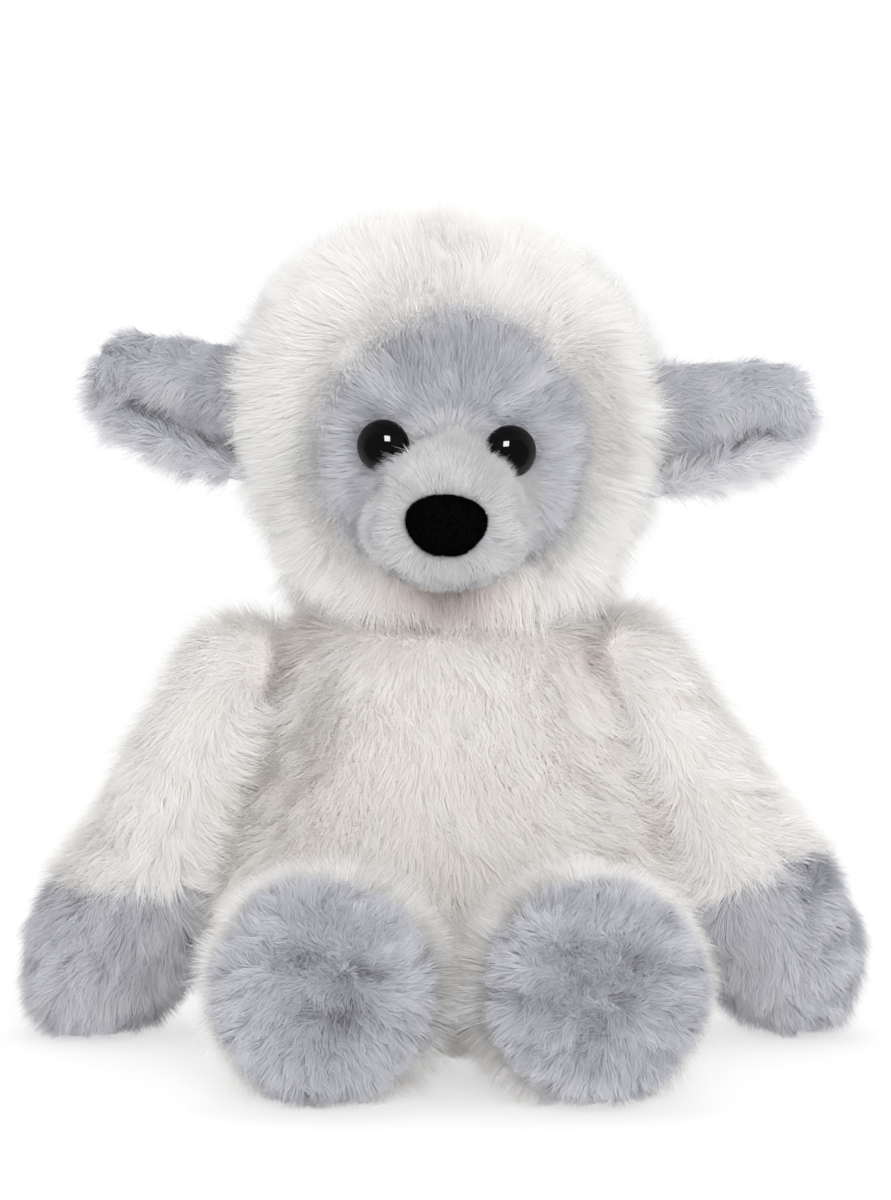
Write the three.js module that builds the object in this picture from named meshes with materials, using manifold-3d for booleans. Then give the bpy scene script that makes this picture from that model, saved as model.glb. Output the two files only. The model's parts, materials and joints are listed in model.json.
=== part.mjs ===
// Seated plush sheep: a pear-shaped body on a pellet bag, a hooded head, stuffed limbs, ears and a tail.
// Millimetres, +Z up. The toy faces -Y and sits on z = 0, with the origin on its seat, under the neck.
// Left and right are those of a viewer who faces the toy, so right is +X.

import * as THREE from "three";
import { mergeVertices } from "three/addons/utils/BufferGeometryUtils.js";
import Module from "manifold-3d";

const wasm = await Module();
wasm.setup();

// Cloth and clearances
const seamGap = 0.3; // between pieces that touch
const coverThickness = 4.5; // plush cloth with its pressed pile
const groundCut = 0.5; // how far a stuffed form is flattened by the surface that it rests on
const cutOverrun = 30; // how far a cutter runs past what it cuts

// Body
const bodyHeight = 124; // seat to neck seam
const bodyWidth = 146;
const bodyDepth = 112;
const neckOpening = 38; // diameter of the hole that the stuffing passes at the neck seam
// Rows of every share table: place along the form, width, depth, and shift towards the depth side.
const bodyShares = [
  [0, 0.66, 0.66, 0],
  [0.045, 0.85, 0.86, 0],
  [0.13, 0.955, 0.965, 0],
  [0.27, 1, 1, 0],
  [0.42, 0.95, 0.965, 0],
  [0.58, 0.82, 0.87, 0],
  [0.74, 0.7, 0.77, 0],
  [0.87, 0.655, 0.7, 0],
  [0.95, 0.61, 0.64, 0],
  [1, 0.52, 0.54, 0],
];
const pelletBagWidth = 104;
const pelletBagDepth = 78;
const pelletBagHeight = 24;
const pelletBagShares = [
  [0, 0.72, 0.7, 0],
  [0.2, 0.94, 0.93, 0],
  [0.5, 1, 1, 0],
  [0.82, 0.8, 0.78, 0],
  [1, 0, 0, 0],
];

// Head
const headHeight = 115; // neck seam to crown
const headWidth = 122;
const headDepth = 106;
const headRollDegrees = 2.5; // the head sits a little askew, lower on the right
const headRootDepth = 5; // the round form below the neck seam, trimmed off level
const headShares = [
  [0, 0.44, 0.48, 0],
  [0.1, 0.735, 0.74, 0],
  [0.19, 0.86, 0.86, 0],
  [0.31, 0.955, 0.955, 0],
  [0.48, 1, 1, 0],
  [0.65, 0.965, 0.955, 0],
  [0.78, 0.855, 0.83, 0],
  [0.88, 0.665, 0.64, 0],
  [0.96, 0.385, 0.37, 0],
  [1, 0, 0, 0],
];
const faceWidth = 76;
const faceHeight = 82;
const faceHeightOnHead = 47.5; // middle of the face, above the neck seam
const faceInset = 1.5; // the face cloth lies this deep under the hood's pile
const faceCutShare = 0.15; // of the head's depth: how far the face opening's cutter stays from the middle

// Muzzle
const muzzleWidth = 45;
const muzzleHeight = 45;
const muzzleReach = 30; // in front of the head's form
const muzzleRootDepth = 28; // inside the head's form
const muzzleHeightOnHead = 34.5;
const muzzleTaperShare = 0.24; // how much narrower it is at the bridge than at its middle
const muzzleShares = [
  [0, 0.92, 0.9, 0],
  [0.25, 0.98, 0.97, 0],
  [0.5, 1, 1, -0.01],
  [0.7, 1, 0.92, -0.05],
  [0.87, 0.87, 0.75, -0.08],
  [0.97, 0.56, 0.48, -0.09],
  [1, 0, 0, -0.09],
];

// Nose: a flocked cap with a shank
const noseWidth = 22.8;
const noseHeight = 18;
const noseCrown = 8;
const noseHeightOnHead = 32;
const noseSeat = 2.5; // how far it presses the tip of the muzzle flat
const noseBrowShare = 0.2; // how much wider the cap is above its middle than below
const noseNotchShare = 0.1; // depth of the dent under the cap
const noseNotchSpread = 0.3; // half width of that dent, in radians
const noseCrownAngles = [0, 14, 30, 48, 66]; // of the rings, up a quarter oval

// Eyes: domed caps on ribbed shanks
const eyeDiameter = 15;
const eyeCrown = 6.2;
const eyeEdge = 0.8; // straight rim of the dome
const eyeAcross = { left: 18.6, right: 17.2 }; // from the head's middle line
const eyeHeightOnHead = 50.5;
const shankDiameter = 4.6;
const shankRoot = 5; // plain length below the cap
const shankLength = 15;
const ribPitch = 3;
const ribHeight = 0.5;
const shankTipShare = 0.6;
const domeSteps = 5;

// Lock washers on the shanks
const washerThickness = 2.4;
const washerCollar = 1.2;
const eyeWasherDiameter = 14;
const noseWasherDiameter = 12;
const washerWall = 1.6; // collar's wall around the shank
const eyeWasherDepth = 5.4; // from the cap's back to the washer
const noseWasherDepth = 6;

// Ears
const earLength = 47;
const earHeight = 45;
const earThickness = 15;
const earHeightOnHead = 54;
const earRootDepth = 6;
const earLiftDegrees = 9;
const earSwingDegrees = 25;
const earCurl = 9; // how far the lower rim folds forward at the root
const earShares = [
  [0, 0.6, 1, 0],
  [0.2, 0.78, 1, 0],
  [0.42, 0.97, 0.96, 0],
  [0.66, 0.94, 0.88, 0.02],
  [0.85, 0.7, 0.74, 0.05],
  [0.96, 0.42, 0.48, 0.07],
  [1, 0, 0, 0.07],
];
const liningLength = 40;
const liningHeight = 23;
const liningThickness = 8;
const liningStart = 6; // from the ear's root
const liningRise = 4.5; // above the ear's middle line
const liningForward = 4.6; // in front of the ear's middle
const liningShares = [
  [0, 0.4, 0.4, 0],
  [0.15, 0.8, 0.82, 0],
  [0.45, 1, 1, 0],
  [0.75, 0.85, 0.8, 0],
  [0.94, 0.45, 0.42, 0],
  [1, 0, 0, 0],
];

// Arms
const shoulderAcross = { left: 62.5, right: 53 }; // from the middle: the toy slumps a little to the left
const shoulderHeight = 109.5;
const shoulderRadius = 17;
const shoulderClearance = 0.9; // around the shoulder in the body's dimple
const armReach = 122.5; // shoulder to the tip of the paw
const armWidth = 52;
const armDepth = 48;
const leftArmSpreadDegrees = 24; // from straight down, outwards
const rightArmSpreadDegrees = 28;
const armForwardDegrees = 5;
const wristReach = 71; // shoulder to the seam of the paw
const armShares = [
  [0, 0, 0, 0],
  [0.03, 0.4, 0.42, 0],
  [0.07, 0.57, 0.61, 0],
  [0.125, 0.65, 0.7, 0],
  [0.28, 0.745, 0.79, 0],
  [0.45, 0.85, 0.87, 0],
  [0.6, 0.925, 0.93, 0],
  [0.73, 1, 1, 0],
  [0.84, 0.96, 0.96, 0],
  [0.93, 0.74, 0.74, 0],
  [0.98, 0.42, 0.42, 0],
  [1, 0, 0, 0],
];

// Legs
const hipSpacing = 68;
const hipHeight = 27;
const hipClearance = 1.5; // from the body's form to the hip seam
const legReach = 76; // hip seam to the crown of the sole
const legRootDepth = 14;
const legWidth = 67;
const legHeight = 67;
const legRiseDegrees = 5.6;
const leftLegSplayDegrees = 1;
const rightLegSplayDegrees = 5.5;
const legDropDegrees = 35;
const legLiftDegrees = 45;
const soleReach = 61; // hip seam to the seam of the sole
const legShares = [
  [0, 0.7, 0.72, 0],
  [0.16, 0.79, 0.79, 0],
  [0.38, 0.88, 0.88, 0],
  [0.6, 0.95, 0.95, 0],
  [0.77, 1, 1, 0],
  [0.87, 0.975, 0.975, 0],
  [0.94, 0.84, 0.84, 0],
  [0.98, 0.56, 0.56, 0],
  [1, 0, 0, 0],
];

// Tail
const tailLength = 36;
const tailWidth = 22;
const tailDepth = 17;
const tailHeight = 47;
const tailClearance = 1.2;
const tailRootDepth = 6;
const tailHangDegrees = 22; // from straight down, outwards
const tailLiftDegrees = 60;
const tailShares = [
  [0, 0.5, 0.5, 0],
  [0.2, 0.78, 0.8, 0],
  [0.55, 1, 1, 0],
  [0.82, 0.8, 0.8, 0],
  [0.95, 0.42, 0.42, 0],
  [1, 0, 0, 0],
];

// Facets
const skinSides = 20;
const skinSteps = 2;
const insideSides = 14;
const limbSides = 16;
const smallSides = 12;
const coarseSteps = 1;
const sweepStepDegrees = 20;
const bisections = 30;

// Finishes
const finishes = {
  fleece: new THREE.MeshStandardMaterial({ color: 0xf0ece9, roughness: 0.95, metalness: 0 }),
  greyPlush: new THREE.MeshStandardMaterial({ color: 0xb2b5be, roughness: 0.95, metalness: 0 }),
  palePlush: new THREE.MeshStandardMaterial({ color: 0xcccdd2, roughness: 0.95, metalness: 0 }),
  flock: new THREE.MeshStandardMaterial({ color: 0x0c0b0d, roughness: 0.9, metalness: 0 }),
  eyePlastic: new THREE.MeshStandardMaterial({ color: 0x0a0808, roughness: 0.08, metalness: 0 }),
  washerPlastic: new THREE.MeshStandardMaterial({ color: 0xe6e4de, roughness: 0.5, metalness: 0 }),
  stuffing: new THREE.MeshStandardMaterial({ color: 0xf6f5f1, roughness: 1, metalness: 0 }),
  calico: new THREE.MeshStandardMaterial({ color: 0xd9cfb8, roughness: 0.9, metalness: 0 }),
};

const radians = THREE.MathUtils.degToRad;
const up = new THREE.Vector3(0, 0, 1);
const sideSigns = { left: -1, right: 1 };
const armSpreadDegrees = { left: leftArmSpreadDegrees, right: rightArmSpreadDegrees };
const legSplayDegrees = { left: leftLegSplayDegrees, right: rightLegSplayDegrees };
const neckSeam = bodyHeight + seamGap;

// A smooth row of a share table, at a place counted in rows.
function rowAt(shares, place) {
  const last = shares.length - 1;
  const here = Math.min(Math.floor(place), last - 1);
  const t = place - here;
  const near = [-1, 0, 1, 2].map((step) => shares[THREE.MathUtils.clamp(here + step, 0, last)]);
  return shares[0].map((_, column) => {
    const [a, b, c, d] = near.map((row) => row[column]);
    return b + 0.5 * t * (c - a + t * (2 * a - 5 * b + 4 * c - d + t * (3 * (b - c) + d - a)));
  });
}

// A closed geometry through rings of points; a ring of one point is a pole, and open ends get a flat cap.
function loft(rings) {
  const points = [];
  const faces = [];
  const starts = rings.map((ring) => points.push(...ring) - ring.length);
  for (let r = 0; r + 1 < rings.length; r++) {
    const sides = Math.max(rings[r].length, rings[r + 1].length);
    const at = (ring, k) => starts[ring] + (rings[ring].length > 1 ? k % sides : 0);
    for (let k = 0; k < sides; k++) {
      if (rings[r].length > 1) faces.push(at(r, k), at(r, k + 1), at(r + 1, k));
      if (rings[r + 1].length > 1) faces.push(at(r, k + 1), at(r + 1, k + 1), at(r + 1, k));
    }
  }
  for (const [r, turn] of [[0, 1], [rings.length - 1, 0]]) {
    const sides = rings[r].length;
    if (sides === 1) continue;
    const middle = rings[r].reduce((sum, p) => sum.add(p), new THREE.Vector3()).divideScalar(sides);
    points.push(middle);
    for (let k = 0; k < sides; k++) {
      faces.push(points.length - 1, starts[r] + ((k + turn) % sides), starts[r] + ((k + 1 - turn) % sides));
    }
  }
  return new THREE.BufferGeometry().setFromPoints(points).setIndex(faces);
}

// A stuffed form along +Z from its share table: oval rings, each at its own width, depth and shift.
function stuffedForm({ shares, length, width, depth }, sides, steps = skinSteps) {
  const rings = [];
  for (let i = 0; i <= (shares.length - 1) * steps; i++) {
    const [along, wide, deep, shift] = rowAt(shares, i / steps);
    const pole = wide <= 0;
    rings.push(
      Array.from({ length: pole ? 1 : sides }, (_, k) => {
        const angle = (2 * Math.PI * k) / sides;
        const across = pole ? 0 : 0.5 * wide * Math.cos(angle);
        const through = pole ? 0 : 0.5 * deep * Math.sin(angle);
        return new THREE.Vector3(width * across, depth * (through + shift), length * along);
      }),
    );
  }
  return loft(rings);
}

// A copy of a rounded form drawn in by the same distance on every side, or let out where it is negative.
function drawnIn(geometry, distance) {
  const copy = geometry.clone();
  copy.computeBoundingBox();
  const middle = copy.boundingBox.getCenter(new THREE.Vector3());
  const size = copy.boundingBox.getSize(new THREE.Vector3());
  copy.translate(-middle.x, -middle.y, -middle.z);
  copy.scale(...size.toArray().map((side) => (side - 2 * distance) / side));
  return copy.translate(middle.x, middle.y, middle.z);
}

// A geometry with each of its points moved by a function.
function reshaped(geometry, move) {
  const places = geometry.attributes.position;
  const point = new THREE.Vector3();
  for (let i = 0; i < places.count; i++) {
    move(point.fromBufferAttribute(places, i));
    places.setXYZ(i, point.x, point.y, point.z);
  }
  return geometry;
}

// The solid of a geometry, where a frame puts it. A mirrored frame has its faces turned back.
function solid(geometry, frame = new THREE.Matrix4()) {
  const placed = geometry.clone().applyMatrix4(frame);
  placed.deleteAttribute("normal");
  placed.deleteAttribute("uv");
  const merged = mergeVertices(placed);
  const triVerts = Uint32Array.from(merged.index.array);
  if (frame.determinant() < 0) {
    for (let i = 0; i < triVerts.length; i += 3) {
      [triVerts[i], triVerts[i + 1]] = [triVerts[i + 1], triVerts[i]];
    }
  }
  const vertProperties = Float32Array.from(merged.attributes.position.array);
  return new wasm.Manifold(new wasm.Mesh({ numProp: 3, vertProperties, triVerts }));
}

// A round solid about +Z from its profile of [radius, height] pairs.
function turned(profile, sides = smallSides) {
  const points = profile.map(([radius, height]) => new THREE.Vector2(radius, height));
  return new THREE.LatheGeometry(points, sides).rotateX(Math.PI / 2);
}

// A plain rod about +Z between two heights.
function rod(diameter, bottom, top, sides = smallSides) {
  return turned([[0, bottom], [diameter / 2, bottom], [diameter / 2, top], [0, top]], sides);
}

// The named mesh of a finished solid, in its material.
function piece(name, made, finish) {
  const { vertProperties, triVerts } = made.getMesh();
  const geometry = new THREE.BufferGeometry();
  geometry.setAttribute("position", new THREE.BufferAttribute(vertProperties, 3));
  geometry.setIndex(new THREE.BufferAttribute(triVerts, 1));
  geometry.computeVertexNormals();
  const mesh = new THREE.Mesh(geometry, finish);
  mesh.name = name;
  return mesh;
}

// Everything below the surface that the toy sits on, or below any other level.
function everythingBelow(level) {
  const span = 2 * (bodyHeight + headHeight + armReach);
  return solid(new THREE.BoxGeometry(span, span, span).translate(0, 0, level - span / 2));
}

// A turn about an axis through a point, by an angle in degrees.
function turnAbout(point, axis, degrees) {
  const { x, y, z } = point;
  return new THREE.Matrix4()
    .makeTranslation(x, y, z)
    .multiply(new THREE.Matrix4().makeRotationAxis(axis, radians(degrees)))
    .multiply(new THREE.Matrix4().makeTranslation(-x, -y, -z));
}

// The angles of a joint's range in even steps, from its first to its last.
function anglesOf(from, to) {
  const count = Math.ceil((to - from) / sweepStepDegrees);
  return Array.from({ length: count + 1 }, (_, i) => from + ((to - from) * i) / Math.max(count, 1));
}

// A limb's solid trimmed where the piece that carries it would be met, anywhere in its joint's range.
function clearOf(limb, obstacle, { point, axis, from, to }) {
  return anglesOf(from, to).reduce(
    (left, angle) => left.subtract(obstacle.transform(turnAbout(point, axis, -angle).toArray())),
    limb,
  );
}

// A frame at a point whose +Z runs along a direction, with +X kept as level as it can be.
function frameAlong(point, direction, side) {
  const along = direction.clone().normalize();
  const across = side.clone().addScaledVector(along, -side.dot(along)).normalize();
  const third = new THREE.Vector3().crossVectors(along, across);
  return new THREE.Matrix4().makeBasis(across, third, along).setPosition(point);
}

// The body
const bodyForm = { shares: bodyShares, length: bodyHeight + groundCut, width: bodyWidth, depth: bodyDepth };

function bodyLayer(distance, sides = skinSides, steps = skinSteps) {
  return solid(drawnIn(stuffedForm(bodyForm, sides, steps).translate(0, 0, -groundCut), distance));
}

// The half width and half depth of a form of oval rings at a height along it.
function halvesAt({ shares, length, width, depth }, height) {
  let [low, high] = [0, shares.length - 1];
  for (let i = 0; i < bisections; i++) {
    const middle = (low + high) / 2;
    const isBelow = rowAt(shares, middle)[0] * length < height;
    [low, high] = isBelow ? [middle, high] : [low, middle];
  }
  const [, wide, deep] = rowAt(shares, low);
  return { across: 0.5 * width * wide, through: 0.5 * depth * deep };
}

function acrossAt(form, height) {
  return halvesAt(form, height).across;
}

// How far such a form reaches towards +Y or -Y at a place across and a height.
function reachAt(form, across, height) {
  const halves = halvesAt(form, height);
  return halves.through * Math.sqrt(Math.max(0, 1 - (across / halves.across) ** 2));
}

function shoulderPoint(name) {
  return new THREE.Vector3(sideSigns[name] * shoulderAcross[name], 0, shoulderHeight);
}

function shoulderBall(name, distance) {
  const ball = new THREE.SphereGeometry(shoulderRadius - distance, limbSides, limbSides / 2);
  const { x, y, z } = shoulderPoint(name);
  return solid(ball.translate(x, y, z));
}

// The body with a dimple where each shoulder seats.
function dimpled(layer, distance) {
  return Object.keys(sideSigns).reduce((left, name) => left.subtract(shoulderBall(name, distance)), layer);
}

function neckPassage(diameter, top) {
  return solid(rod(diameter, bodyHeight - cutOverrun, top));
}

function pelletBag(distance) {
  const size = { length: pelletBagHeight, width: pelletBagWidth, depth: pelletBagDepth };
  const bag = stuffedForm({ shares: pelletBagShares, ...size }, insideSides, coarseSteps);
  return solid(drawnIn(bag.translate(0, 0, coverThickness + seamGap - groundCut), distance));
}

function bodyPieces() {
  const insides = bodyLayer(coverThickness, insideSides, coarseSteps);
  const cover = dimpled(bodyLayer(0).subtract(insides), -shoulderClearance)
    .subtract(neckPassage(neckOpening, bodyHeight + cutOverrun))
    .subtract(everythingBelow(0));
  const filling = bodyLayer(coverThickness + seamGap, insideSides, coarseSteps);
  const plug = neckPassage(neckOpening - 2 * seamGap, bodyHeight);
  const stuffing = dimpled(filling.add(plug), -shoulderClearance).subtract(pelletBag(-seamGap));
  return [
    piece("body_fleece", cover, finishes.fleece),
    piece("body_stuffing", stuffing, finishes.stuffing),
    piece("pellet_bag", pelletBag(0), finishes.calico),
  ];
}

// The head
const headLength = headHeight + headRootDepth;
const headForm = { shares: headShares, length: headLength, width: headWidth, depth: headDepth };
const headBase = neckSeam - headRootDepth;
const headMiddle = new THREE.Vector3(0, 0, neckSeam + headHeight / 2);
const headFrame = turnAbout(headMiddle, new THREE.Vector3(0, 1, 0), headRollDegrees);

function headLayer(distance, sides = skinSides, steps = skinSteps) {
  return solid(drawnIn(stuffedForm(headForm, sides, steps).translate(0, 0, headBase), distance), headFrame);
}

// The point of the head's form at a place across and a height above the neck seam, with the way it faces.
function headFront(across, height) {
  const onHead = (x, z) => new THREE.Vector3(x, -reachAt(headForm, x, z + headRootDepth), neckSeam + z);
  const here = onHead(across, height);
  const aside = onHead(across + seamGap, height).sub(here);
  const above = onHead(across, height + seamGap).sub(here);
  const facing = new THREE.Vector3().crossVectors(aside, above).normalize();
  return { point: here.addScaledVector(facing, -faceInset), facing };
}

function faceCutter(distance) {
  const front = headDepth / 2 + cutOverrun;
  const back = headDepth * faceCutShare;
  const cylinder = new THREE.CylinderGeometry(1, 1, front - back, skinSides);
  cylinder.scale(faceWidth / 2 - distance, 1, faceHeight / 2 - distance);
  return solid(cylinder.translate(0, -(front + back) / 2, neckSeam + faceHeightOnHead), headFrame);
}

function muzzleLayer(distance, skinFacets = limbSides, steps = skinSteps) {
  const size = { length: muzzleRootDepth + muzzleReach, width: muzzleWidth, depth: muzzleHeight };
  const root = muzzleRootDepth - headDepth / 2;
  const pear = reshaped(stuffedForm({ shares: muzzleShares, ...size }, skinFacets, steps), (point) => {
    point.x *= 1 - (muzzleTaperShare * point.y) / (muzzleHeight / 2);
  });
  const ahead = pear.rotateX(Math.PI / 2).translate(0, root, neckSeam + muzzleHeightOnHead);
  return solid(drawnIn(ahead, distance), headFrame);
}

// A ribbed shank below a cap's back, as a profile from its tip to the cap.
function shankProfile() {
  const profile = [[0, -shankLength], [(shankDiameter / 2) * shankTipShare, -shankLength]];
  const ribs = Math.floor((shankLength - shankRoot) / ribPitch);
  for (let i = ribs; i > 0; i--) {
    const bottom = -shankRoot - i * ribPitch;
    profile.push([shankDiameter / 2 - ribHeight, bottom + ribPitch / 2]);
    profile.push([shankDiameter / 2, bottom + ribPitch]);
  }
  profile.push([shankDiameter / 2, 0]);
  return profile;
}

function eyeGeometry() {
  const profile = shankProfile();
  profile.push([eyeDiameter / 2, 0]);
  for (let i = 0; i < domeSteps; i++) {
    const angle = (Math.PI / 2) * (i / domeSteps);
    const height = eyeEdge + (eyeCrown - eyeEdge) * Math.sin(angle);
    profile.push([(eyeDiameter / 2) * Math.cos(angle), height]);
  }
  profile.push([0, eyeCrown]);
  return turned(profile);
}

function washerGeometry(diameter, depth) {
  const bore = shankDiameter / 2 + seamGap;
  const collar = bore + washerWall;
  const face = -depth - washerThickness;
  const bottom = face - washerCollar;
  const underside = [[bore, bottom], [collar, bottom], [collar, face], [diameter / 2, face]];
  return turned([...underside, [diameter / 2, -depth], [bore, -depth], [bore, bottom]]);
}

// The room that a washer and its shank take up in the stuffing.
function washerPocket(diameter, frame) {
  return solid(rod(diameter + 2 * seamGap, -shankLength - seamGap, cutOverrun), frame);
}

function shankHole(frame) {
  return solid(rod(shankDiameter + 2 * seamGap, -shankLength, seamGap), frame);
}

// The room that an eye's cap takes up beside the muzzle.
function eyeSocket(frame) {
  return solid(rod(eyeDiameter + 2 * seamGap, -eyeEdge, eyeCrown + seamGap), frame);
}

function eyeFrame(name) {
  const { point, facing } = headFront(sideSigns[name] * eyeAcross[name], eyeHeightOnHead);
  const seat = point.addScaledVector(facing, seamGap);
  return headFrame.clone().multiply(frameAlong(seat, facing, new THREE.Vector3(1, 0, 0)));
}

// The nose's rounded three-cornered outline, at an angle round it.
function noseEdge(angle, distance) {
  const below = Math.abs(angle - 1.5 * Math.PI) / noseNotchSpread;
  const notch = 1 - noseNotchShare * Math.exp(-below * below);
  const brow = 1 + noseBrowShare * Math.sin(angle);
  const x = (noseWidth / 2 - distance) * Math.cos(angle) * brow;
  const y = (noseHeight / 2 - distance) * Math.sin(angle) * notch;
  return new THREE.Vector3(x, y, 0);
}

// The nose's cap: its outline drawn in along a quarter oval, up to a pole.
function noseCap(distance) {
  const crown = noseCrown - distance;
  const rings = noseCrownAngles.map((degrees) => {
    const height = crown * Math.sin(radians(degrees)) + Math.min(0, distance);
    return Array.from({ length: skinSides }, (_, k) => {
      const edge = noseEdge((2 * Math.PI * k) / skinSides, distance);
      return edge.multiplyScalar(Math.cos(radians(degrees))).setZ(height);
    });
  });
  return loft([...rings, [new THREE.Vector3(0, 0, crown)]]);
}

function noseFrame() {
  const back = -headDepth / 2 - muzzleReach + noseSeat;
  const seat = new THREE.Vector3(0, back, neckSeam + noseHeightOnHead);
  const ahead = new THREE.Vector3(0, -1, 0);
  return headFrame.clone().multiply(frameAlong(seat, ahead, new THREE.Vector3(1, 0, 0)));
}

function headPieces() {
  const below = everythingBelow(neckSeam);
  const neckHole = solid(rod(neckOpening, bodyHeight, neckSeam + cutOverrun));
  const insides = headLayer(coverThickness, insideSides, coarseSteps);
  const hood = headLayer(0).subtract(insides).subtract(faceCutter(0)).subtract(neckHole).subtract(below);

  const eyeFrames = { left: eyeFrame("left"), right: eyeFrame("right") };
  const muzzleHollow = muzzleLayer(coverThickness, smallSides, coarseSteps);
  let face = headLayer(faceInset).subtract(insides).intersect(faceCutter(seamGap)).subtract(muzzleHollow);
  for (const frame of Object.values(eyeFrames)) face = face.subtract(shankHole(frame));

  const noseShank = turned([...shankProfile(), [0, seamGap]]);
  const nose = solid(noseCap(0), noseFrame()).add(solid(noseShank, noseFrame()));
  let muzzle = muzzleLayer(0)
    .subtract(muzzleHollow)
    .subtract(headLayer(faceInset - seamGap))
    .subtract(solid(noseCap(-seamGap), noseFrame()))
    .subtract(shankHole(noseFrame()));
  for (const frame of Object.values(eyeFrames)) muzzle = muzzle.subtract(eyeSocket(frame));

  const neckPlug = solid(rod(neckOpening - 2 * seamGap, neckSeam, neckSeam + cutOverrun));
  let stuffing = headLayer(coverThickness + seamGap, insideSides, coarseSteps).subtract(below);
  stuffing = stuffing.add(neckPlug).add(muzzleLayer(coverThickness + seamGap, smallSides, coarseSteps));
  stuffing = stuffing.subtract(washerPocket(noseWasherDiameter, noseFrame()));
  for (const frame of Object.values(eyeFrames)) {
    stuffing = stuffing.subtract(washerPocket(eyeWasherDiameter, frame));
  }

  const pieces = [
    piece("head_fleece", hood, finishes.fleece),
    piece("face_panel", face, finishes.greyPlush),
    piece("muzzle", muzzle, finishes.palePlush),
    piece("nose", nose, finishes.flock),
    piece("head_stuffing", stuffing, finishes.stuffing),
  ];
  for (const [name, frame] of Object.entries(eyeFrames)) {
    const washer = solid(washerGeometry(eyeWasherDiameter, eyeWasherDepth), frame);
    pieces.push(piece("eye_" + name, solid(eyeGeometry(), frame), finishes.eyePlastic));
    pieces.push(piece("eye_washer_" + name, washer, finishes.washerPlastic));
  }
  const noseWasher = solid(washerGeometry(noseWasherDiameter, noseWasherDepth), noseFrame());
  pieces.push(piece("nose_washer", noseWasher, finishes.washerPlastic));
  return pieces;
}

// The ears: a leaf whose lower rim folds forward, and a lining set into its front.
function earPieces(name, side) {
  const half = acrossAt(headForm, earHeightOnHead + headRootDepth);
  const root = new THREE.Vector3(half, 0, neckSeam + earHeightOnHead);
  const outward = new THREE.Vector3(1, 0, 0);
  outward.applyAxisAngle(new THREE.Vector3(0, -1, 0), radians(earLiftDegrees));
  const mirror = new THREE.Matrix4().makeScale(side, 1, 1);
  const ownFrame = frameAlong(root, outward, new THREE.Vector3(0, 1, 0));
  const frame = headFrame.clone().multiply(mirror).multiply(ownFrame);

  const leafSize = { length: earLength + earRootDepth, width: earThickness, depth: earHeight };
  const flat = stuffedForm({ shares: earShares, ...leafSize }, limbSides, coarseSteps);
  const leaf = reshaped(flat.translate(0, 0, -earRootDepth), (point) => {
    const low = Math.max(0, -point.y / (earHeight / 2));
    const near = 1 - Math.max(0, point.z) / earLength;
    point.x -= earCurl * low * low * near;
  });
  const liningSize = { length: liningLength, width: liningThickness, depth: liningHeight };
  const lining = stuffedForm({ shares: liningShares, ...liningSize }, smallSides, coarseSteps);
  lining.translate(-liningForward, liningRise, liningStart);

  const hinge = {
    point: root.clone().multiply(new THREE.Vector3(side, 1, 1)).applyMatrix4(headFrame),
    axis: up.clone().transformDirection(headFrame),
    from: -earSwingDegrees,
    to: earSwingDegrees,
  };
  const head = headLayer(-seamGap);
  const back = solid(leaf, frame).subtract(solid(drawnIn(lining, -seamGap), frame));
  return [
    piece("ear_back_" + name, clearOf(back, head, hinge), finishes.greyPlush),
    piece("ear_lining_" + name, clearOf(solid(lining, frame), head, hinge), finishes.palePlush),
  ];
}

// The parts of a limb beyond and before a seam at a reach along it.
function seamHalves(layer, frame, reach, gap) {
  const far = 2 * (armReach + legReach);
  const block = new THREE.BoxGeometry(far, far, far);
  const beyond = solid(block.clone().translate(0, 0, reach + gap / 2 + far / 2), frame);
  const before = solid(block.clone().translate(0, 0, reach - gap / 2 - far / 2), frame);
  return { near: layer.intersect(before), tip: layer.intersect(beyond) };
}

// A limb's two covers, which meet at a seam, and the stuffing that fills them both.
function limbPieces({ form, root, frame, hinge, reach, obstacle, names, colours }) {
  const floor = everythingBelow(0);
  const layer = (distance, sides, steps) => {
    const made = solid(drawnIn(stuffedForm(form, sides, steps).translate(0, 0, -root), distance), frame);
    return clearOf(made, obstacle(distance), hinge).subtract(distance ? everythingBelow(distance) : floor);
  };
  const cover = layer(0, limbSides, coarseSteps).subtract(layer(coverThickness, smallSides, coarseSteps));
  const { near, tip } = seamHalves(cover, frame, reach, seamGap);
  return [
    piece(names[0], near, colours[0]),
    piece(names[1], tip, colours[1]),
    piece(names[2], layer(coverThickness + seamGap, smallSides, coarseSteps), finishes.stuffing),
  ];
}

function armPieces(name, side) {
  const point = shoulderPoint(name);
  const down = new THREE.Vector3(0, 0, -1);
  down.applyAxisAngle(new THREE.Vector3(0, -side, 0), radians(armSpreadDegrees[name]));
  down.applyAxisAngle(new THREE.Vector3(-1, 0, 0), radians(armForwardDegrees));
  return limbPieces({
    form: { shares: armShares, length: armReach + shoulderRadius, width: armWidth, depth: armDepth },
    root: shoulderRadius,
    frame: frameAlong(point, down, new THREE.Vector3(1, 0, 0)),
    // Its round root turns in its own dimple, so the hinge needs no more room
    hinge: { point, axis: new THREE.Vector3(0, -side, 0), from: 0, to: 0 },
    reach: wristReach,
    obstacle: (distance) => bodyLayer(-seamGap - distance).subtract(shoulderBall(name, distance)),
    names: ["sleeve_" + name, "paw_" + name, "arm_stuffing_" + name],
    colours: [finishes.fleece, finishes.greyPlush],
  });
}

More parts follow.
